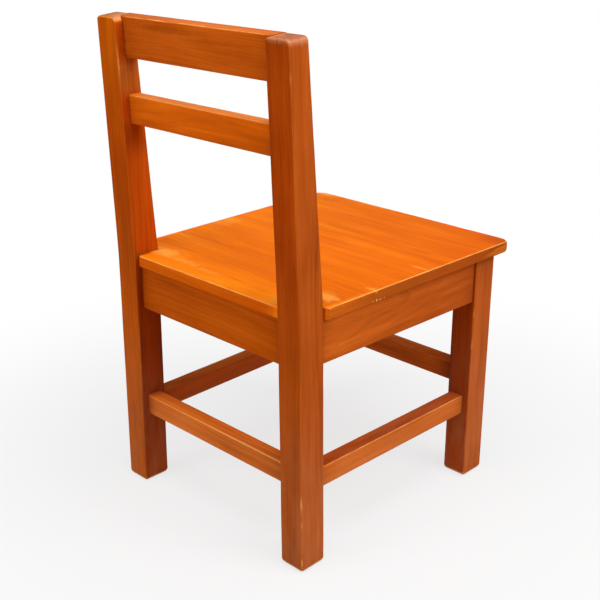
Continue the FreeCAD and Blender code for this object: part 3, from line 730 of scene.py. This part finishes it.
def seat_wood():
    """Wood of the seat, with glue by the posts, darker streaks and chips on the right edge."""
    finish = bpy.context.scene.chair_finish
    top = BOXES["seat_board_middle"][1].z

    def on_top(x, y, reach_x, reach_y, ragged, shade, strength):
        return smear((x, y, top), (reach_x, reach_y, MARK_DEPTH), ragged, shade, strength)

    def chip(y, below, reach_y, reach_z, ragged, strength):
        return smear((CHIPPED_END, y, top - below), (MARK_DEPTH, reach_y, reach_z), ragged,
                     finish.seat_rubbed_and_highlight, strength)

    marks = (
        # painted contact shade along the notch by the post on the sitter's left, partly stain
        # gathered in that corner
        on_top(0.1135, 0.155, 0.0045, 0.036, 0.4, finish.pooled_stain_and_shade, 0.65),
        on_top(0.103, 0.135, 0.024, 0.016, 0.8, finish.glue, 0.72),
        on_top(0.066, 0.141, 0.044, 0.006, 1.2, finish.glue, 0.42),
        on_top(-0.100, 0.152, 0.016, 0.013, 0.9, finish.glue, 0.55),
        on_top(-0.127, 0.111, 0.021, 0.014, 0.9, finish.glue, 0.75),
        on_top(0.106, 0.070, 0.040, 0.0035, 0.9, finish.frame_mid, 0.34),
        on_top(0.066, 0.071, 0.030, 0.0030, 0.9, finish.frame_mid, 0.34),
        on_top(-0.024, 0.1405, 0.016, 0.0016, 0.8, finish.frame_mid, 0.45),
        on_top(0.013, -0.075, 0.050, 0.0050, 0.9, finish.frame_mid, 0.38),
        on_top(-0.104, -0.070, 0.020, 0.0060, 0.9, finish.frame_mid, 0.34),
        on_top(0.018, 0.1435, 0.028, 0.0050, 1.0, finish.glue, 0.30),
        on_top(0.140, 0.010, 0.016, 0.0300, 1.2, finish.glue, 0.30),
        on_top(0.138, 0.079, 0.014, 0.0030, 1.0, finish.glue, 0.35),
        on_top(0.141, -0.173, 0.026, 0.0070, 0.9, finish.glue, 0.80),
        on_top(0.116, -0.156, 0.022, 0.0110, 0.9, finish.frame_mid, 0.30),
        on_top(0.060, -0.175, 0.060, 0.0045, 0.9, finish.glue, 0.35),
        on_top(-0.140, -0.025, 0.018, 0.0026, 1.2, finish.glue, 0.5),
        on_top(-0.147, 0.061, 0.013, 0.0036, 1.2, finish.glue, 0.6),
        chip(0.0655, 0.0110, 0.0022, 0.0012, 0.7, 0.5),
        chip(0.0600, 0.0112, 0.0012, 0.0024, 0.5, 0.85),
        chip(0.0545, 0.0114, 0.0024, 0.0012, 0.7, 0.6),
        chip(0.0480, 0.0114, 0.0011, 0.0012, 0.7, 0.6),
    )
    stain = (finish.seat_dark, finish.seat_mid, finish.seat_light)
    return stained_wood("stained_seat_wood", stain, (finish.end_dark, finish.end_light),
                        finish.seat_rubbed_and_highlight, spacing=6.0, wander=60.0, figure=0.15, rub_and_highlight=0.42,
                        sheen=0.008, marks=marks)


# wear and painted highlight of a rail's long edges: (outer, top), (inner, top), (inner, underside),
# (outer, underside)
RAIL_WEAR_AND_HIGHLIGHT = (1.0, 1.0, 0.5, 0.5)
TOP_WEAR_AND_HIGHLIGHT = (1.25, 0.9, 0.5, 0.5)
POST_WEAR_AND_HIGHLIGHT = (0.55, 0.55, 0.55, 0.55)  # wear and painted highlight of the long edges of posts and legs
LEFT, RIGHT = 1, -1
SIDES = (("left", LEFT), ("right", RIGHT))
TOP_INNER = {LEFT: 0.0075, RIGHT: 0.0050}  # rounding of the posts' inner top edges
TOP_KNOCKED = {LEFT: 1.25, RIGHT: 0.7}  # wear round the posts' tops
TOP_FALL = 0.02  # height over which the posts' tops begin to fall to the rear
RAIL_MIDDLE = 0.08  # half of the stretch in which a cross rail is not lengthened to fit
POST_SHIFT = {LEFT: 1.7, RIGHT: 4.9}  # where in the log each post and leg lies
LEG_SHIFT = {LEFT: 7.3, RIGHT: 9.1}
ON_EDGE = 0.3  # how far a point has to face both ways to lie on an edge


# Uneven stain with some painted shade and painted light: each function tells how the colour of a
# timber differs at a point of its surface, as shares of its red, green and blue

PLAIN = (1.0, 1.0, 1.0)


def bump(value, centre, reach):
    return max(0.0, 1.0 - ((value - centre) / reach) ** 2)


def facing(out):
    """1 on a face that looks this way, less round its edges and 0 on the other faces."""
    return out ** 2 if out > 0 else 0.0


def blend(one, two, share):
    share = max(0.0, min(1.0, share))
    return tuple(between(a, b, share) for a, b in zip(one, two))


def even(tint):
    return lambda here, out_first, out_second: tint


def by_height(height, steps):
    """Stain at a height, from pairs of height and stain."""
    for (low, one), (high, two) in zip(steps, steps[1:]):
        if height <= high:
            return blend(one, two, (height - low) / (high - low))
    return steps[-1][1]


REAR_STAIN = {
    LEFT: ((0.0, (1.13, 1.24, 1.1)), (0.22, (1.08, 1.12, 0.9)),
           (0.40, (0.96, 0.80, 0.2)), (0.55, (1.22, 1.32, 0.5))),
    RIGHT: ((0.0, (0.88, 0.95, 1.4)), (0.22, (0.90, 0.88, 1.0)),
            (0.40, (0.95, 0.72, 0.4)), (0.55, (0.86, 0.70, 0.6))),
}
# painted shade below the seat, just under the slat and beside the crest; paler and greyer between
# the slat and the crest
INNER_STAIN_AND_SHADE = (
    (0.0, (0.66, 0.43, 0.1)), (0.24, (0.62, 0.40, 0.1)), (0.30, (1.05, 0.92, 0.9)),
    (0.405, (1.15, 1.05, 1.2)), (0.428, (0.82, 0.70, 0.7)), (0.443, (0.90, 0.72, 0.6)),
    (0.451, (1.25, 1.00, 0.8)), (0.473, (1.15, 0.90, 0.7)), (0.481, (1.12, 1.48, 3.5)),
    (0.509, (1.20, 1.75, 5.0)), (0.516, (0.97, 0.80, 0.6)), (0.550, (0.97, 0.80, 0.6)),
    (0.557, (1.30, 1.60, 3.5)),
)


def post_stain_and_shade(side):
    def tint(here, out_first, out_second):
        shade = blend(PLAIN, by_height(here.z, REAR_STAIN[side]), facing(out_second))
        # painted shade on the inner face below the seat, just under the slat and beside the crest
        shade = blend(shade, by_height(here.z, INNER_STAIN_AND_SHADE), facing(-out_first))
        return blend(shade, (0.95, 1.04, 2.4), facing(out_first))
    return tint


def leg_stain_and_shade(side):
    def tint(here, out_first, out_second):
        outward = out_first * side
        # painted shade on the rear and inner faces, which face the shade under the seat; bluer on
        # the outer face
        shade = blend(PLAIN, (0.68, 0.53, 0.6), facing(out_second))
        shade = blend(shade, (0.75, 0.6, 0.6), facing(-outward))
        return blend(shade, (0.98, 1.12, 3.4), facing(outward))
    return tint


def apron_stain(here, out_first, out_second):
    """Lighter towards the rear."""
    return blend((0.94, 0.97, 2.2), (1.37, 1.64, 3.4), (here.y + 0.115) / 0.25)


def seat_stain_and_light(here, out_first, out_second):
    """Redder to the front and the sitter's right, golden by the rear edge, darker on that edge, and
    painted light by the post on the sitter's right where its shadow falls.
    """
    share = 0.5 * (0.15 - here.x) / 0.30 + 0.5 * (0.165 - here.y) / 0.34
    shade = blend((0.96, 0.99, 0.9), (0.82, 0.69, 0.72), (share - 0.2) / 0.8)
    # by the rear edge; painted light by the post on the sitter's right, where its shadow falls; at
    # the right front corner
    for stain, y, reach_y, x, reach_x in (((1.08, 1.26, 1.1), 0.17, 0.06, 0.01, 0.14),
                                          ((1.20, 1.48, 1.4), 0.158, 0.028, -0.100, 0.034),
                                          ((0.60, 0.45, 0.9), -0.18, 0.035, -0.155, 0.04)):
        shade = blend(shade, stain, bump(here.y, y, reach_y) * bump(here.x, x, reach_x))
    if out_first > 0 and abs(here.x) < 0.12:
        edge = blend((0.84, 0.62, 0.9), (0.92, 0.78, 0.9), (here.x + 0.1) / 0.2)
        # painted light on the rear edge by the post on the sitter's right, where its shadow falls
        edge = blend(edge, (1.18, 1.30, 1.6), bump(here.x, -0.113, 0.010))
        shade = blend(shade, edge, facing(out_first))
    if abs(here.x) > 0.147:  # the seat's ends
        off_top = 1.0 - max(0.0, out_second) ** 4
        shade = blend(shade, (1.22, 1.18, 1.0), bump(here.y, 0.12, 0.06))
        shade = blend(shade, (1.20, 1.35, 1.4), bump(here.y, -0.17, 0.025) * off_top)
    return shade


def topped(face, top):
    """One tint on the faces of a rail and another on its top."""
    return lambda here, out_first, out_second: blend(face, top, facing(out_second))


def front_stretcher_stain(here, out_first, out_second):
    """Paler and greyer on top, and darker where it meets the leg on the sitter's right."""
    face = blend((1.54, 1.77, 1.8), (0.75, 0.85, 1.4), bump(here.x, -0.125, 0.03))
    return blend(face, (1.80, 3.20, 5.0), facing(out_second))


def rear_stretcher_stain(here, out_first, out_second):
    """Darker where it meets the post on the sitter's left."""
    shade = blend((1.42, 1.78, 3.4), (1.60, 1.94, 1.7), facing(out_second))
    return blend(shade, (0.95, 0.95, 1.2), bump(here.x, 0.119, 0.013))


CREST_STAIN = topped((1.24, 1.27, 1.3), (0.98, 1.26, 2.4))
SLAT_STAIN = topped((1.54, 1.60, 0.9), (1.57, 2.70, 8.0))
LEFT_STRETCHER_STAIN = topped((1.26, 1.15, 0.8), (1.70, 2.40, 2.4))
RIGHT_STRETCHER_STAIN = topped((1.33, 1.68, 3.6), (0.80, 0.66, 0.6))


def knocks_at(height, *spots):
    """Strongest of some knocks along an upright edge, from strength, height and reach."""
    return max(strength * bump(height, spot, reach) for strength, spot, reach in spots)


class CHAIR_OT_rear_posts(bpy.types.Operator):
    """Two bent rear posts that carry the back"""
    bl_idname = "chair.rear_posts"
    bl_label = "Rear posts"

    def execute(self, context):
        for word, side in SIDES:
            self.make(word, side, context.scene.chair_sizes, post_lines().top)
        return {"FINISHED"}

    def make(self, word, side, sizes, top):
        def place(height, first, second):
            fall = sizes.top_drop * max(0.0, min(1.0, (height - top + TOP_FALL) / TOP_FALL))
            share = (second - post_front(height)) / (post_rear(height) - post_front(height))
            x = side * (post_inner(height) + first)
            return Vector((x, second, height - fall * share))

        def outline(height):
            rounds = [sizes.post_arris] * 4
            return (0.0, post_front(height)), (sizes.post_width, post_rear(height)), rounds

        def knocks(here, out_first, out_second):
            """Knocks on the right post's outer rear edge and the left one's inner rear edge."""
            if min(-side * out_first, out_second) < ON_EDGE:
                return 0.0
            if side == LEFT:
                return knocks_at(here.z, (0.55, 0.512, 0.034), (0.42, 0.17, 0.10))
            return knocks_at(here.z, (0.8, 0.084, 0.012), (0.6, 0.058, 0.007),
                             (1.0, 0.014, 0.007), (0.5, 0.523, 0.006))

        summit = End((TOP_INNER[side], sizes.top_side_round), (sizes.top_edge_round,) * 2,
                     worn=TOP_KNOCKED[side])
        timber = Timber("rear_post_" + word, (-31.0 * side, -92.0), POST_SHIFT[side],
                        post_stain_and_shade(side), knocks)
        timber.loft(top, worn_foot(sizes), summit, outline, place, ALONG_Z, POST_WEAR_AND_HIGHLIGHT)
        timber.finish(frame_wood(), "stained_wood")


class CHAIR_OT_front_legs(bpy.types.Operator):
    """Two straight front legs"""
    bl_idname = "chair.front_legs"
    bl_label = "Front legs"

    def execute(self, context):
        for word, side in SIDES:
            self.make(word, side, context.scene.chair_sizes)
        return {"FINISHED"}

    def make(self, word, side, sizes):
        low, high = BOXES["front_leg_" + word]

        def place(height, first, second):
            return Vector((first, second, height))

        def outline(height):
            return (low.x, low.y), (high.x, high.y), [sizes.post_arris] * 4

        def knocks(here, out_first, out_second):
            """Small knocks on the outer rear edge of the leg on the sitter's right."""
            if side == LEFT or min(side * out_first, out_second) < ON_EDGE:
                return 0.0
            return knocks_at(here.z, (0.72, 0.220, 0.003), (0.72, 0.199, 0.005),
                             (0.72, 0.178, 0.003), (0.45, 0.05, 0.02))

        timber = Timber("front_leg_" + word, (-90.0 * side, 150.0), LEG_SHIFT[side],
                        leg_stain_and_shade(side), knocks)
        timber.loft(high.z, worn_foot(sizes), End(joined=True), outline, place, ALONG_Z, POST_WEAR_AND_HIGHLIGHT)
        timber.finish(frame_wood(), "stained_wood")


def cross_rail(node, half_length, outline_box, place_section, pith, shift, tint, worn):
    """Rail from one side of the chair to the other; half_length(side, height) is where it ends."""
    sizes = bpy.context.scene.chair_sizes
    groove = (sizes.joint_groove, sizes.joint_groove)
    low, high = outline_box
    half = half_length(LEFT, (low[1] + high[1]) / 2)

    def place(along, first, second):
        y, z = place_section(first, second)
        off = along - half
        side = LEFT if off > 0 else RIGHT
        grown = half_length(side, z) - half
        reach = max(0.0, abs(off) - RAIL_MIDDLE) / (half - RAIL_MIDDLE)
        return Vector((off + side * grown * reach, y, z))

    def outline(along):
        return low, high, [sizes.rail_arris] * 4

    timber = Timber(node, pith, shift, tint)
    joint = End(groove, (sizes.joint_groove, 0.0), joined=True)
    timber.loft(2 * half, joint, joint, outline, place, ALONG_X, worn)
    timber.finish(frame_wood(), "stained_wood")


class CHAIR_OT_back_rails(bpy.types.Operator):
    """Crest rail and back slat between the rear posts"""
    bl_idname = "chair.back_rails"
    bl_label = "Back rails"

    def execute(self, context):
        sizes = context.scene.chair_sizes
        fall = sizes.top_drop / sizes.post_top_depth
        self.make("crest_rail", sizes, fall, (-150.0, -497.0), 11.3, CREST_STAIN)
        self.make("back_slat", sizes, 0.0, (-90.0, -440.0), 13.9, SLAT_STAIN)
        return {"FINISHED"}

    def make(self, node, sizes, tilt, pith, shift, stain):
        thick = sizes.back_rail_thickness
        low, high = BOXES[node]
        bottom, summit = low.z, high.z - tilt * thick

        def place_section(first, second):
            height = second + tilt * -first * (second - bottom) / (summit - bottom)
            return post_rear(second) - sizes.back_rail_recess + first, height

        def ends(side, height):
            """The crest's top is worked flush with the rounded tops of the posts."""
            round_over = TOP_INNER[side] if tilt else 0.0
            return post_inner(height) + eased(round_over, max(0.0, post_lines().top - height))

        cross_rail(node, ends, ((-thick, bottom), (0.0, summit)), place_section, pith, shift,
                   stain, TOP_WEAR_AND_HIGHLIGHT)


def straight_cross_rail(node, half_length, pith, shift, tint=None, worn=RAIL_WEAR_AND_HIGHLIGHT):
    low, high = BOXES[node]
    box = ((low.y, low.z), (high.y, high.z))
    cross_rail(node, half_length, box, lambda first, second: (first, second), pith, shift,
               tint, worn)


def between_posts(side, height):
    return post_inner(height)


def between_legs(side, height):
    return BOXES["front_leg_left"][0].x


def side_rail(node, side, like, pith, shift, tint, worn=RAIL_WEAR_AND_HIGHLIGHT):
    """Rail from a rear post to a front leg, as thick as the rear rail that it is like.

    It is splayed because the chair is wider in front.
    """
    sizes = bpy.context.scene.chair_sizes
    low, high = BOXES[node]
    rear, front = BOXES["rear_post_left"][0].y, BOXES["front_leg_left"][1].y
    thick = BOXES[like][1].y - BOXES[like][0].y
    inner_rear, outer_front = sorted((abs(low.x), abs(high.x)))
    total = rear - front
    groove = (sizes.joint_groove, sizes.joint_groove)

    def place(along, first, second):
        inner = between(inner_rear, outer_front - thick, along / total)
        return Vector((side * (inner + first), rear - along, second))

    def outline(along):
        return (0.0, low.z), (thick, high.z), [sizes.rail_arris] * 4

    timber = Timber(node, pith, shift, tint)
    joint = End(groove, groove, joined=True)
    timber.loft(total, joint, joint, outline, place, ALONG_Y, worn)
    timber.finish(frame_wood(), "stained_wood")


class CHAIR_OT_aprons(bpy.types.Operator):
    """Four aprons under the seat"""
    bl_idname = "chair.aprons"
    bl_label = "Aprons"

    def execute(self, context):
        straight_cross_rail("rear_apron", between_posts, (-190.0, -230.0), 17.1,
                            even((1.09, 1.07, 0.6)))
        straight_cross_rail("front_apron", between_legs, (90.0, -300.0), 19.7)
        side_rail("side_apron_left", LEFT, "rear_apron", (-60.0, -235.0), 23.3, apron_stain)
        side_rail("side_apron_right", RIGHT, "rear_apron", (80.0, -285.0), 29.9, apron_stain)
        return {"FINISHED"}


class CHAIR_OT_stretchers(bpy.types.Operator):
    """Four low stretchers"""
    bl_idname = "chair.stretchers"
    bl_label = "Stretchers"

    def execute(self, context):
        straight_cross_rail("rear_stretcher", between_posts, (-110.0, -160.0), 31.3,
                            rear_stretcher_stain, TOP_WEAR_AND_HIGHLIGHT)
        straight_cross_rail("front_stretcher", between_legs, (170.0, -90.0), 37.7,
                            front_stretcher_stain, TOP_WEAR_AND_HIGHLIGHT)
        side_rail("side_stretcher_left", LEFT, "rear_stretcher", (-90.0, -150.0), 41.1,
                  LEFT_STRETCHER_STAIN, TOP_WEAR_AND_HIGHLIGHT)
        side_rail("side_stretcher_right", RIGHT, "rear_stretcher", (70.0, -60.0), 43.9,
                  RIGHT_STRETCHER_STAIN, TOP_WEAR_AND_HIGHLIGHT)
        return {"FINISHED"}


# The seat's edges that have no size of their own
HAIRLINE = 0.00025  # edges of the boards where they are glued
EAR_EDGE = 0.0006  # edges of the ears where they stand by the posts
NOTCH_STEPS = (0.0003, 0.0012, 0.0024)  # extra rings beside the notches
BLUNT_REACH, FADE_REACH = 0.014, 0.012  # how far in the front corners' blunting and wear go
SEAT_STEP = 0.009  # between the rings of points along a board
SEAT_ROWS = (9, 1)  # rows of points in the middle of a board's faces and of its edges
UNDER_WEAR = 0.3  # wear of the lower edges, against that of the upper ones
SPLAY_RISE = 4  # the splay is full a quarter of the way from the notches to the ends


class CHAIR_OT_seat(bpy.types.Operator):
    """Plank seat of three boards, notched round the rear posts"""
    bl_idname = "chair.seat"
    bl_label = "Seat"

    def execute(self, context):
        material = seat_wood()
        for node, pith, shift in (("seat_board_front", (172.0, -238.0), 47.3),
                                  ("seat_board_middle", (30.0, -262.0), 53.1),
                                  ("seat_board_rear", (-150.0, -250.0), 59.9)):
            self.board(context.scene.chair_sizes, node, pith, shift, material)
        return {"FINISHED"}

    def board(self, sizes, node, pith, shift, material):
        low, high = BOXES[node]
        seat_front = BOXES["seat_board_front"][0].y
        ear_rear = BOXES["rear_post_left"][0].y - sizes.ear_gap
        at_front, at_rear = node == "seat_board_front", node == "seat_board_rear"
        arris, under, tongue = sizes.seat_arris, sizes.seat_under_arris, sizes.tongue_half

        def half_width(y):
            share = (y - seat_front) / (ear_rear - seat_front)
            return between(sizes.seat_front_half, sizes.seat_ear_half, share)

        half = half_width((low.y + high.y) / 2)
        total = 2 * half
        front_corner = sizes.seat_corner if at_front else 0.0
        rear_corner = sizes.seat_rear_corner if at_rear else 0.0
        end = End((front_corner, rear_corner), (under, arris), worn=1.2)

        def place(along, first, second):
            off = along - half
            grown = half_width(first) - half
            reach = max(0.0, abs(off) - tongue) / (half - tongue)
            x = math.copysign(abs(off) + grown * min(1.0, SPLAY_RISE * reach), off)
            return Vector((x, first, second))

        def rear_edges(along):
            """Rear edge at a place along the board; at a notch, both of its ends."""
            off = abs(along - half)
            if not at_rear:
                return [high.y]
            if abs(off - tongue) <= SAME:
                both = [ear_rear, high.y - rear_corner]
                return both if along < half else both[::-1]
            return [ear_rear if off > tongue else high.y - eased(rear_corner, tongue - off)]

        front_rounds = (arris, under) if at_front else (HAIRLINE, HAIRLINE)
        rear_rounds = (arris, under) if at_rear else (HAIRLINE, HAIRLINE)
        timber = Timber(node, pith, shift, seat_stain_and_light, corner_wear=0.1, under_wear=0.55)
        places = set(stations(total, end, end, SEAT_STEP))
        if at_rear:
            for depth in (0.0, *NOTCH_STEPS, rear_corner):
                places |= {half - tongue + depth, half + tongue - depth}
        for along in sorted(places):
            depth = min(along, total - along)
            blunt = sizes.seat_blunt * max(0.0, 1.0 - depth / BLUNT_REACH) * at_front
            fade = min(1.0, depth / FADE_REACH) * at_front
            # round the section as (rear, top), (front, top), (front, underside), (rear, underside)
            worn = (1.0 * at_rear, fade, UNDER_WEAR * fade, UNDER_WEAR * at_rear)
            for rear in rear_edges(along):
                on_ear = at_rear and rear == ear_rear
                rear_top, rear_under = (EAR_EDGE, EAR_EDGE) if on_ear else rear_rounds
                rounds = (rear_top, front_rounds[0] + blunt, front_rounds[1] + blunt, rear_under)
                drawn_in = eased(rear_corner, depth) if on_ear else 0.0
                points = section((low.y + eased(front_corner, depth), low.z + eased(under, depth)),
                                 (rear - drawn_in, high.z - eased(arris, depth)),
                                 rounds, worn, SEAT_ROWS)
                timber.ring(place, ALONG_X, along, points, along, end, total - along, end)
        timber.finish(material, "stained_wood")


def block_wood():
    """Bare sawn wood for the hidden corner blocks."""
    finish = bpy.context.scene.chair_finish
    recipe = new_material("bare_block_wood")
    grain = recipe.stretch(recipe.place(), (MILLIMETRES, MILLIMETRES, MILLIMETRES))
    off_pith = recipe.add("ShaderNodeVectorMath", {"operation": "ADD"},
                          {0: grain, 1: (0.0, 260.0, -190.0)})
    late = rings_of_growth(recipe, off_pith, 4.0, 20.0)
    fibre = recipe.wave(grain, "sawn_fibre")
    saw = recipe.wave(grain, "saw")
    tone = 0.6 + fibre * 0.6 - late * 0.5 + saw * 0.2
    base = recipe.scale_of_colours(tone, (0.1, finish.raw_dark), (0.9, finish.raw_light))
    normal = recipe.add("ShaderNodeBump", None,
                        {"Strength": 0.5, "Distance": 0.0003, "Height": fibre + saw * 1.5})
    return recipe.surface({"Base Color": base, "Roughness": 0.72 + fibre * 0.1, "Normal": normal})


class CHAIR_OT_corner_blocks(bpy.types.Operator):
    """Four glued blocks in the corners under the seat"""
    bl_idname = "chair.corner_blocks"
    bl_label = "Corner blocks"

    def execute(self, context):
        material = block_wood()
        for name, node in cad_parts.items():
            if name.startswith("corner_block"):
                node.data.materials.clear()
                node.data.materials.append(material)
        return {"FINISHED"}


class CHAIR_OT_seat_screws(bpy.types.Operator):
    """Screws that hold the seat down through the blocks"""
    bl_idname = "chair.seat_screws"
    bl_label = "Seat screws"

    def execute(self, context):
        finish = context.scene.chair_finish
        recipe = new_material("zinc_plated_steel")
        dull = recipe.cloud(recipe.place(), (900.0, 900.0, 900.0), 3.0)
        base = recipe.mix(dull.ramp(0.45, 0.75) * 0.5, finish.zinc, finish.zinc_dull)
        material = recipe.surface(
            {"Base Color": base, "Metallic": 1.0, "Roughness": 0.32 + dull * 0.2})
        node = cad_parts["seat_screws"]
        node.data.materials.clear()
        node.data.materials.append(material)
        return {"FINISHED"}


SOFT_BOXES = {  # width and place of the lamps
    "overhead": (1.6, (-0.35, 0.25, 1.9)),
    "side": (1.3, (-1.7, -0.35, 1.55)),
    "rear": (1.2, (0.5, 2.0, 1.35)),
}
WHITE = (1.0, 1.0, 1.0, 1.0)
FLOOR_RADIUS = 14.0
FLOOR_GAP = 0.0002  # between the floor and the feet
FLOOR_WHITE = 0.74  # how white the camera sees the floor under the chair
FLOOR_FADE = (0.25, 0.75)  # from here to here it turns wholly white


class CHAIR_OT_stage(bpy.types.Operator):
    """Pale floor, soft boxes, even room light and the camera"""
    bl_idname = "chair.stage"
    bl_label = "Stage"

    def execute(self, context):
        studio = context.scene.chair_studio
        self.floor(studio)
        self.room(context.scene, studio)
        for name, (size, place) in SOFT_BOXES.items():
            self.soft_box(name + "_box", getattr(studio, name), size, place, studio.target)
        self.camera(context.scene, studio)
        context.scene.view_settings.view_transform = "Standard"
        return {"FINISHED"}

    def floor(self, studio):
        mesh = bmesh.new()
        bmesh.ops.create_circle(mesh, cap_ends=True, radius=FLOOR_RADIUS, segments=96)
        data = bpy.data.meshes.new("floor")
        mesh.to_mesh(data)
        mesh.free()
        recipe = new_material("pale_floor")
        cloth = recipe.add("ShaderNodeBsdfDiffuse", None, {"Color": (*studio.floor, 1.0)})
        white = recipe.add("ShaderNodeEmission", None, {"Color": WHITE, "Strength": 1.0})
        away = recipe.reach(recipe.place()).ramp(*FLOOR_FADE)
        share = recipe.seen() * (away * (1.0 - FLOOR_WHITE) + FLOOR_WHITE)
        fade = recipe.add("ShaderNodeMixShader", None, {0: share, 1: cloth, 2: white})
        # seen from below, the floor is clear
        clear = recipe.add("ShaderNodeBsdfTransparent")
        below = recipe.add("ShaderNodeNewGeometry", output=6)
        sides = recipe.add("ShaderNodeMixShader", None, {0: below, 1: fade, 2: clear})
        recipe.add("ShaderNodeOutputMaterial", None, {"Surface": sides})
        data.materials.append(recipe.block)
        floor = bpy.data.objects.new("floor", data)
        floor.location.z = -FLOOR_GAP
        bpy.context.scene.collection.objects.link(floor)

    def room(self, scene, studio):
        recipe = Recipe(bpy.data.worlds.new("room"))
        even_light, white = (
            recipe.add("ShaderNodeBackground", None, {"Color": WHITE, "Strength": strength})
            for strength in (studio.sky, 1.0))
        both = recipe.add("ShaderNodeMixShader", None, {0: recipe.seen(), 1: even_light, 2: white})
        recipe.add("ShaderNodeOutputWorld", None, {"Surface": both})
        scene.world = recipe.block

    def soft_box(self, name, power, size, place, target):
        lamp = bpy.data.lights.new(name, "AREA")
        lamp.energy = power
        lamp.shape = "DISK"
        lamp.size = size
        held = bpy.data.objects.new(name, lamp)
        held.location = place
        held.rotation_euler = (Vector(target) - Vector(place)).to_track_quat("-Z", "Y").to_euler()
        bpy.context.scene.collection.objects.link(held)

    def camera(self, scene, studio):
        turn, rise = math.radians(studio.azimuth), math.radians(studio.elevation)
        level = math.cos(rise)
        back = Vector((math.sin(turn) * level, -math.cos(turn) * level, math.sin(rise)))
        data = bpy.data.cameras.new("camera")
        data.lens = studio.lens
        data.sensor_width = 36.0
        data.clip_start = 0.01
        data.clip_end = 100.0
        held = bpy.data.objects.new("camera", data)
        held.location = Vector(studio.target) + back * studio.distance
        held.rotation_euler = (-back).to_track_quat("-Z", "Y").to_euler()
        scene.collection.objects.link(held)
        scene.camera = held


class CHAIR_PT_pieces(bpy.types.Panel):
    """Pieces of the chair and its stage"""
    bl_label = "Preschool chair"
    bl_idname = "CHAIR_PT_pieces"
    bl_space_type = "VIEW_3D"
    bl_region_type = "UI"
    bl_category = "Chair"

    def draw(self, context):
        for operator in OPERATORS:
            self.layout.operator(operator.bl_idname)


GROUPS = (ChairTimberSizes, ChairFinish, ChairStudio)
OPERATORS = (
    CHAIR_OT_rear_posts, CHAIR_OT_front_legs, CHAIR_OT_back_rails, CHAIR_OT_aprons,
    CHAIR_OT_stretchers, CHAIR_OT_seat, CHAIR_OT_corner_blocks, CHAIR_OT_seat_screws,
    CHAIR_OT_stage,
)


def register():
    for part in (*GROUPS, *OPERATORS, CHAIR_PT_pieces):
        bpy.utils.register_class(part)
    bpy.types.Scene.chair_sizes = PointerProperty(type=ChairTimberSizes)
    bpy.types.Scene.chair_finish = PointerProperty(type=ChairFinish)
    bpy.types.Scene.chair_studio = PointerProperty(type=ChairStudio)


def unregister():
    del bpy.types.Scene.chair_studio
    del bpy.types.Scene.chair_finish
    del bpy.types.Scene.chair_sizes
    for part in (CHAIR_PT_pieces, *reversed(OPERATORS), *reversed(GROUPS)):
        bpy.utils.unregister_class(part)


def main():
    register()
    bpy.ops.chair.rear_posts()
    bpy.ops.chair.front_legs()
    bpy.ops.chair.back_rails()
    bpy.ops.chair.aprons()
    bpy.ops.chair.stretchers()
    bpy.ops.chair.seat()
    bpy.ops.chair.corner_blocks()
    bpy.ops.chair.seat_screws()
    bpy.ops.chair.stage()


if __name__ == "__main__":
    main()
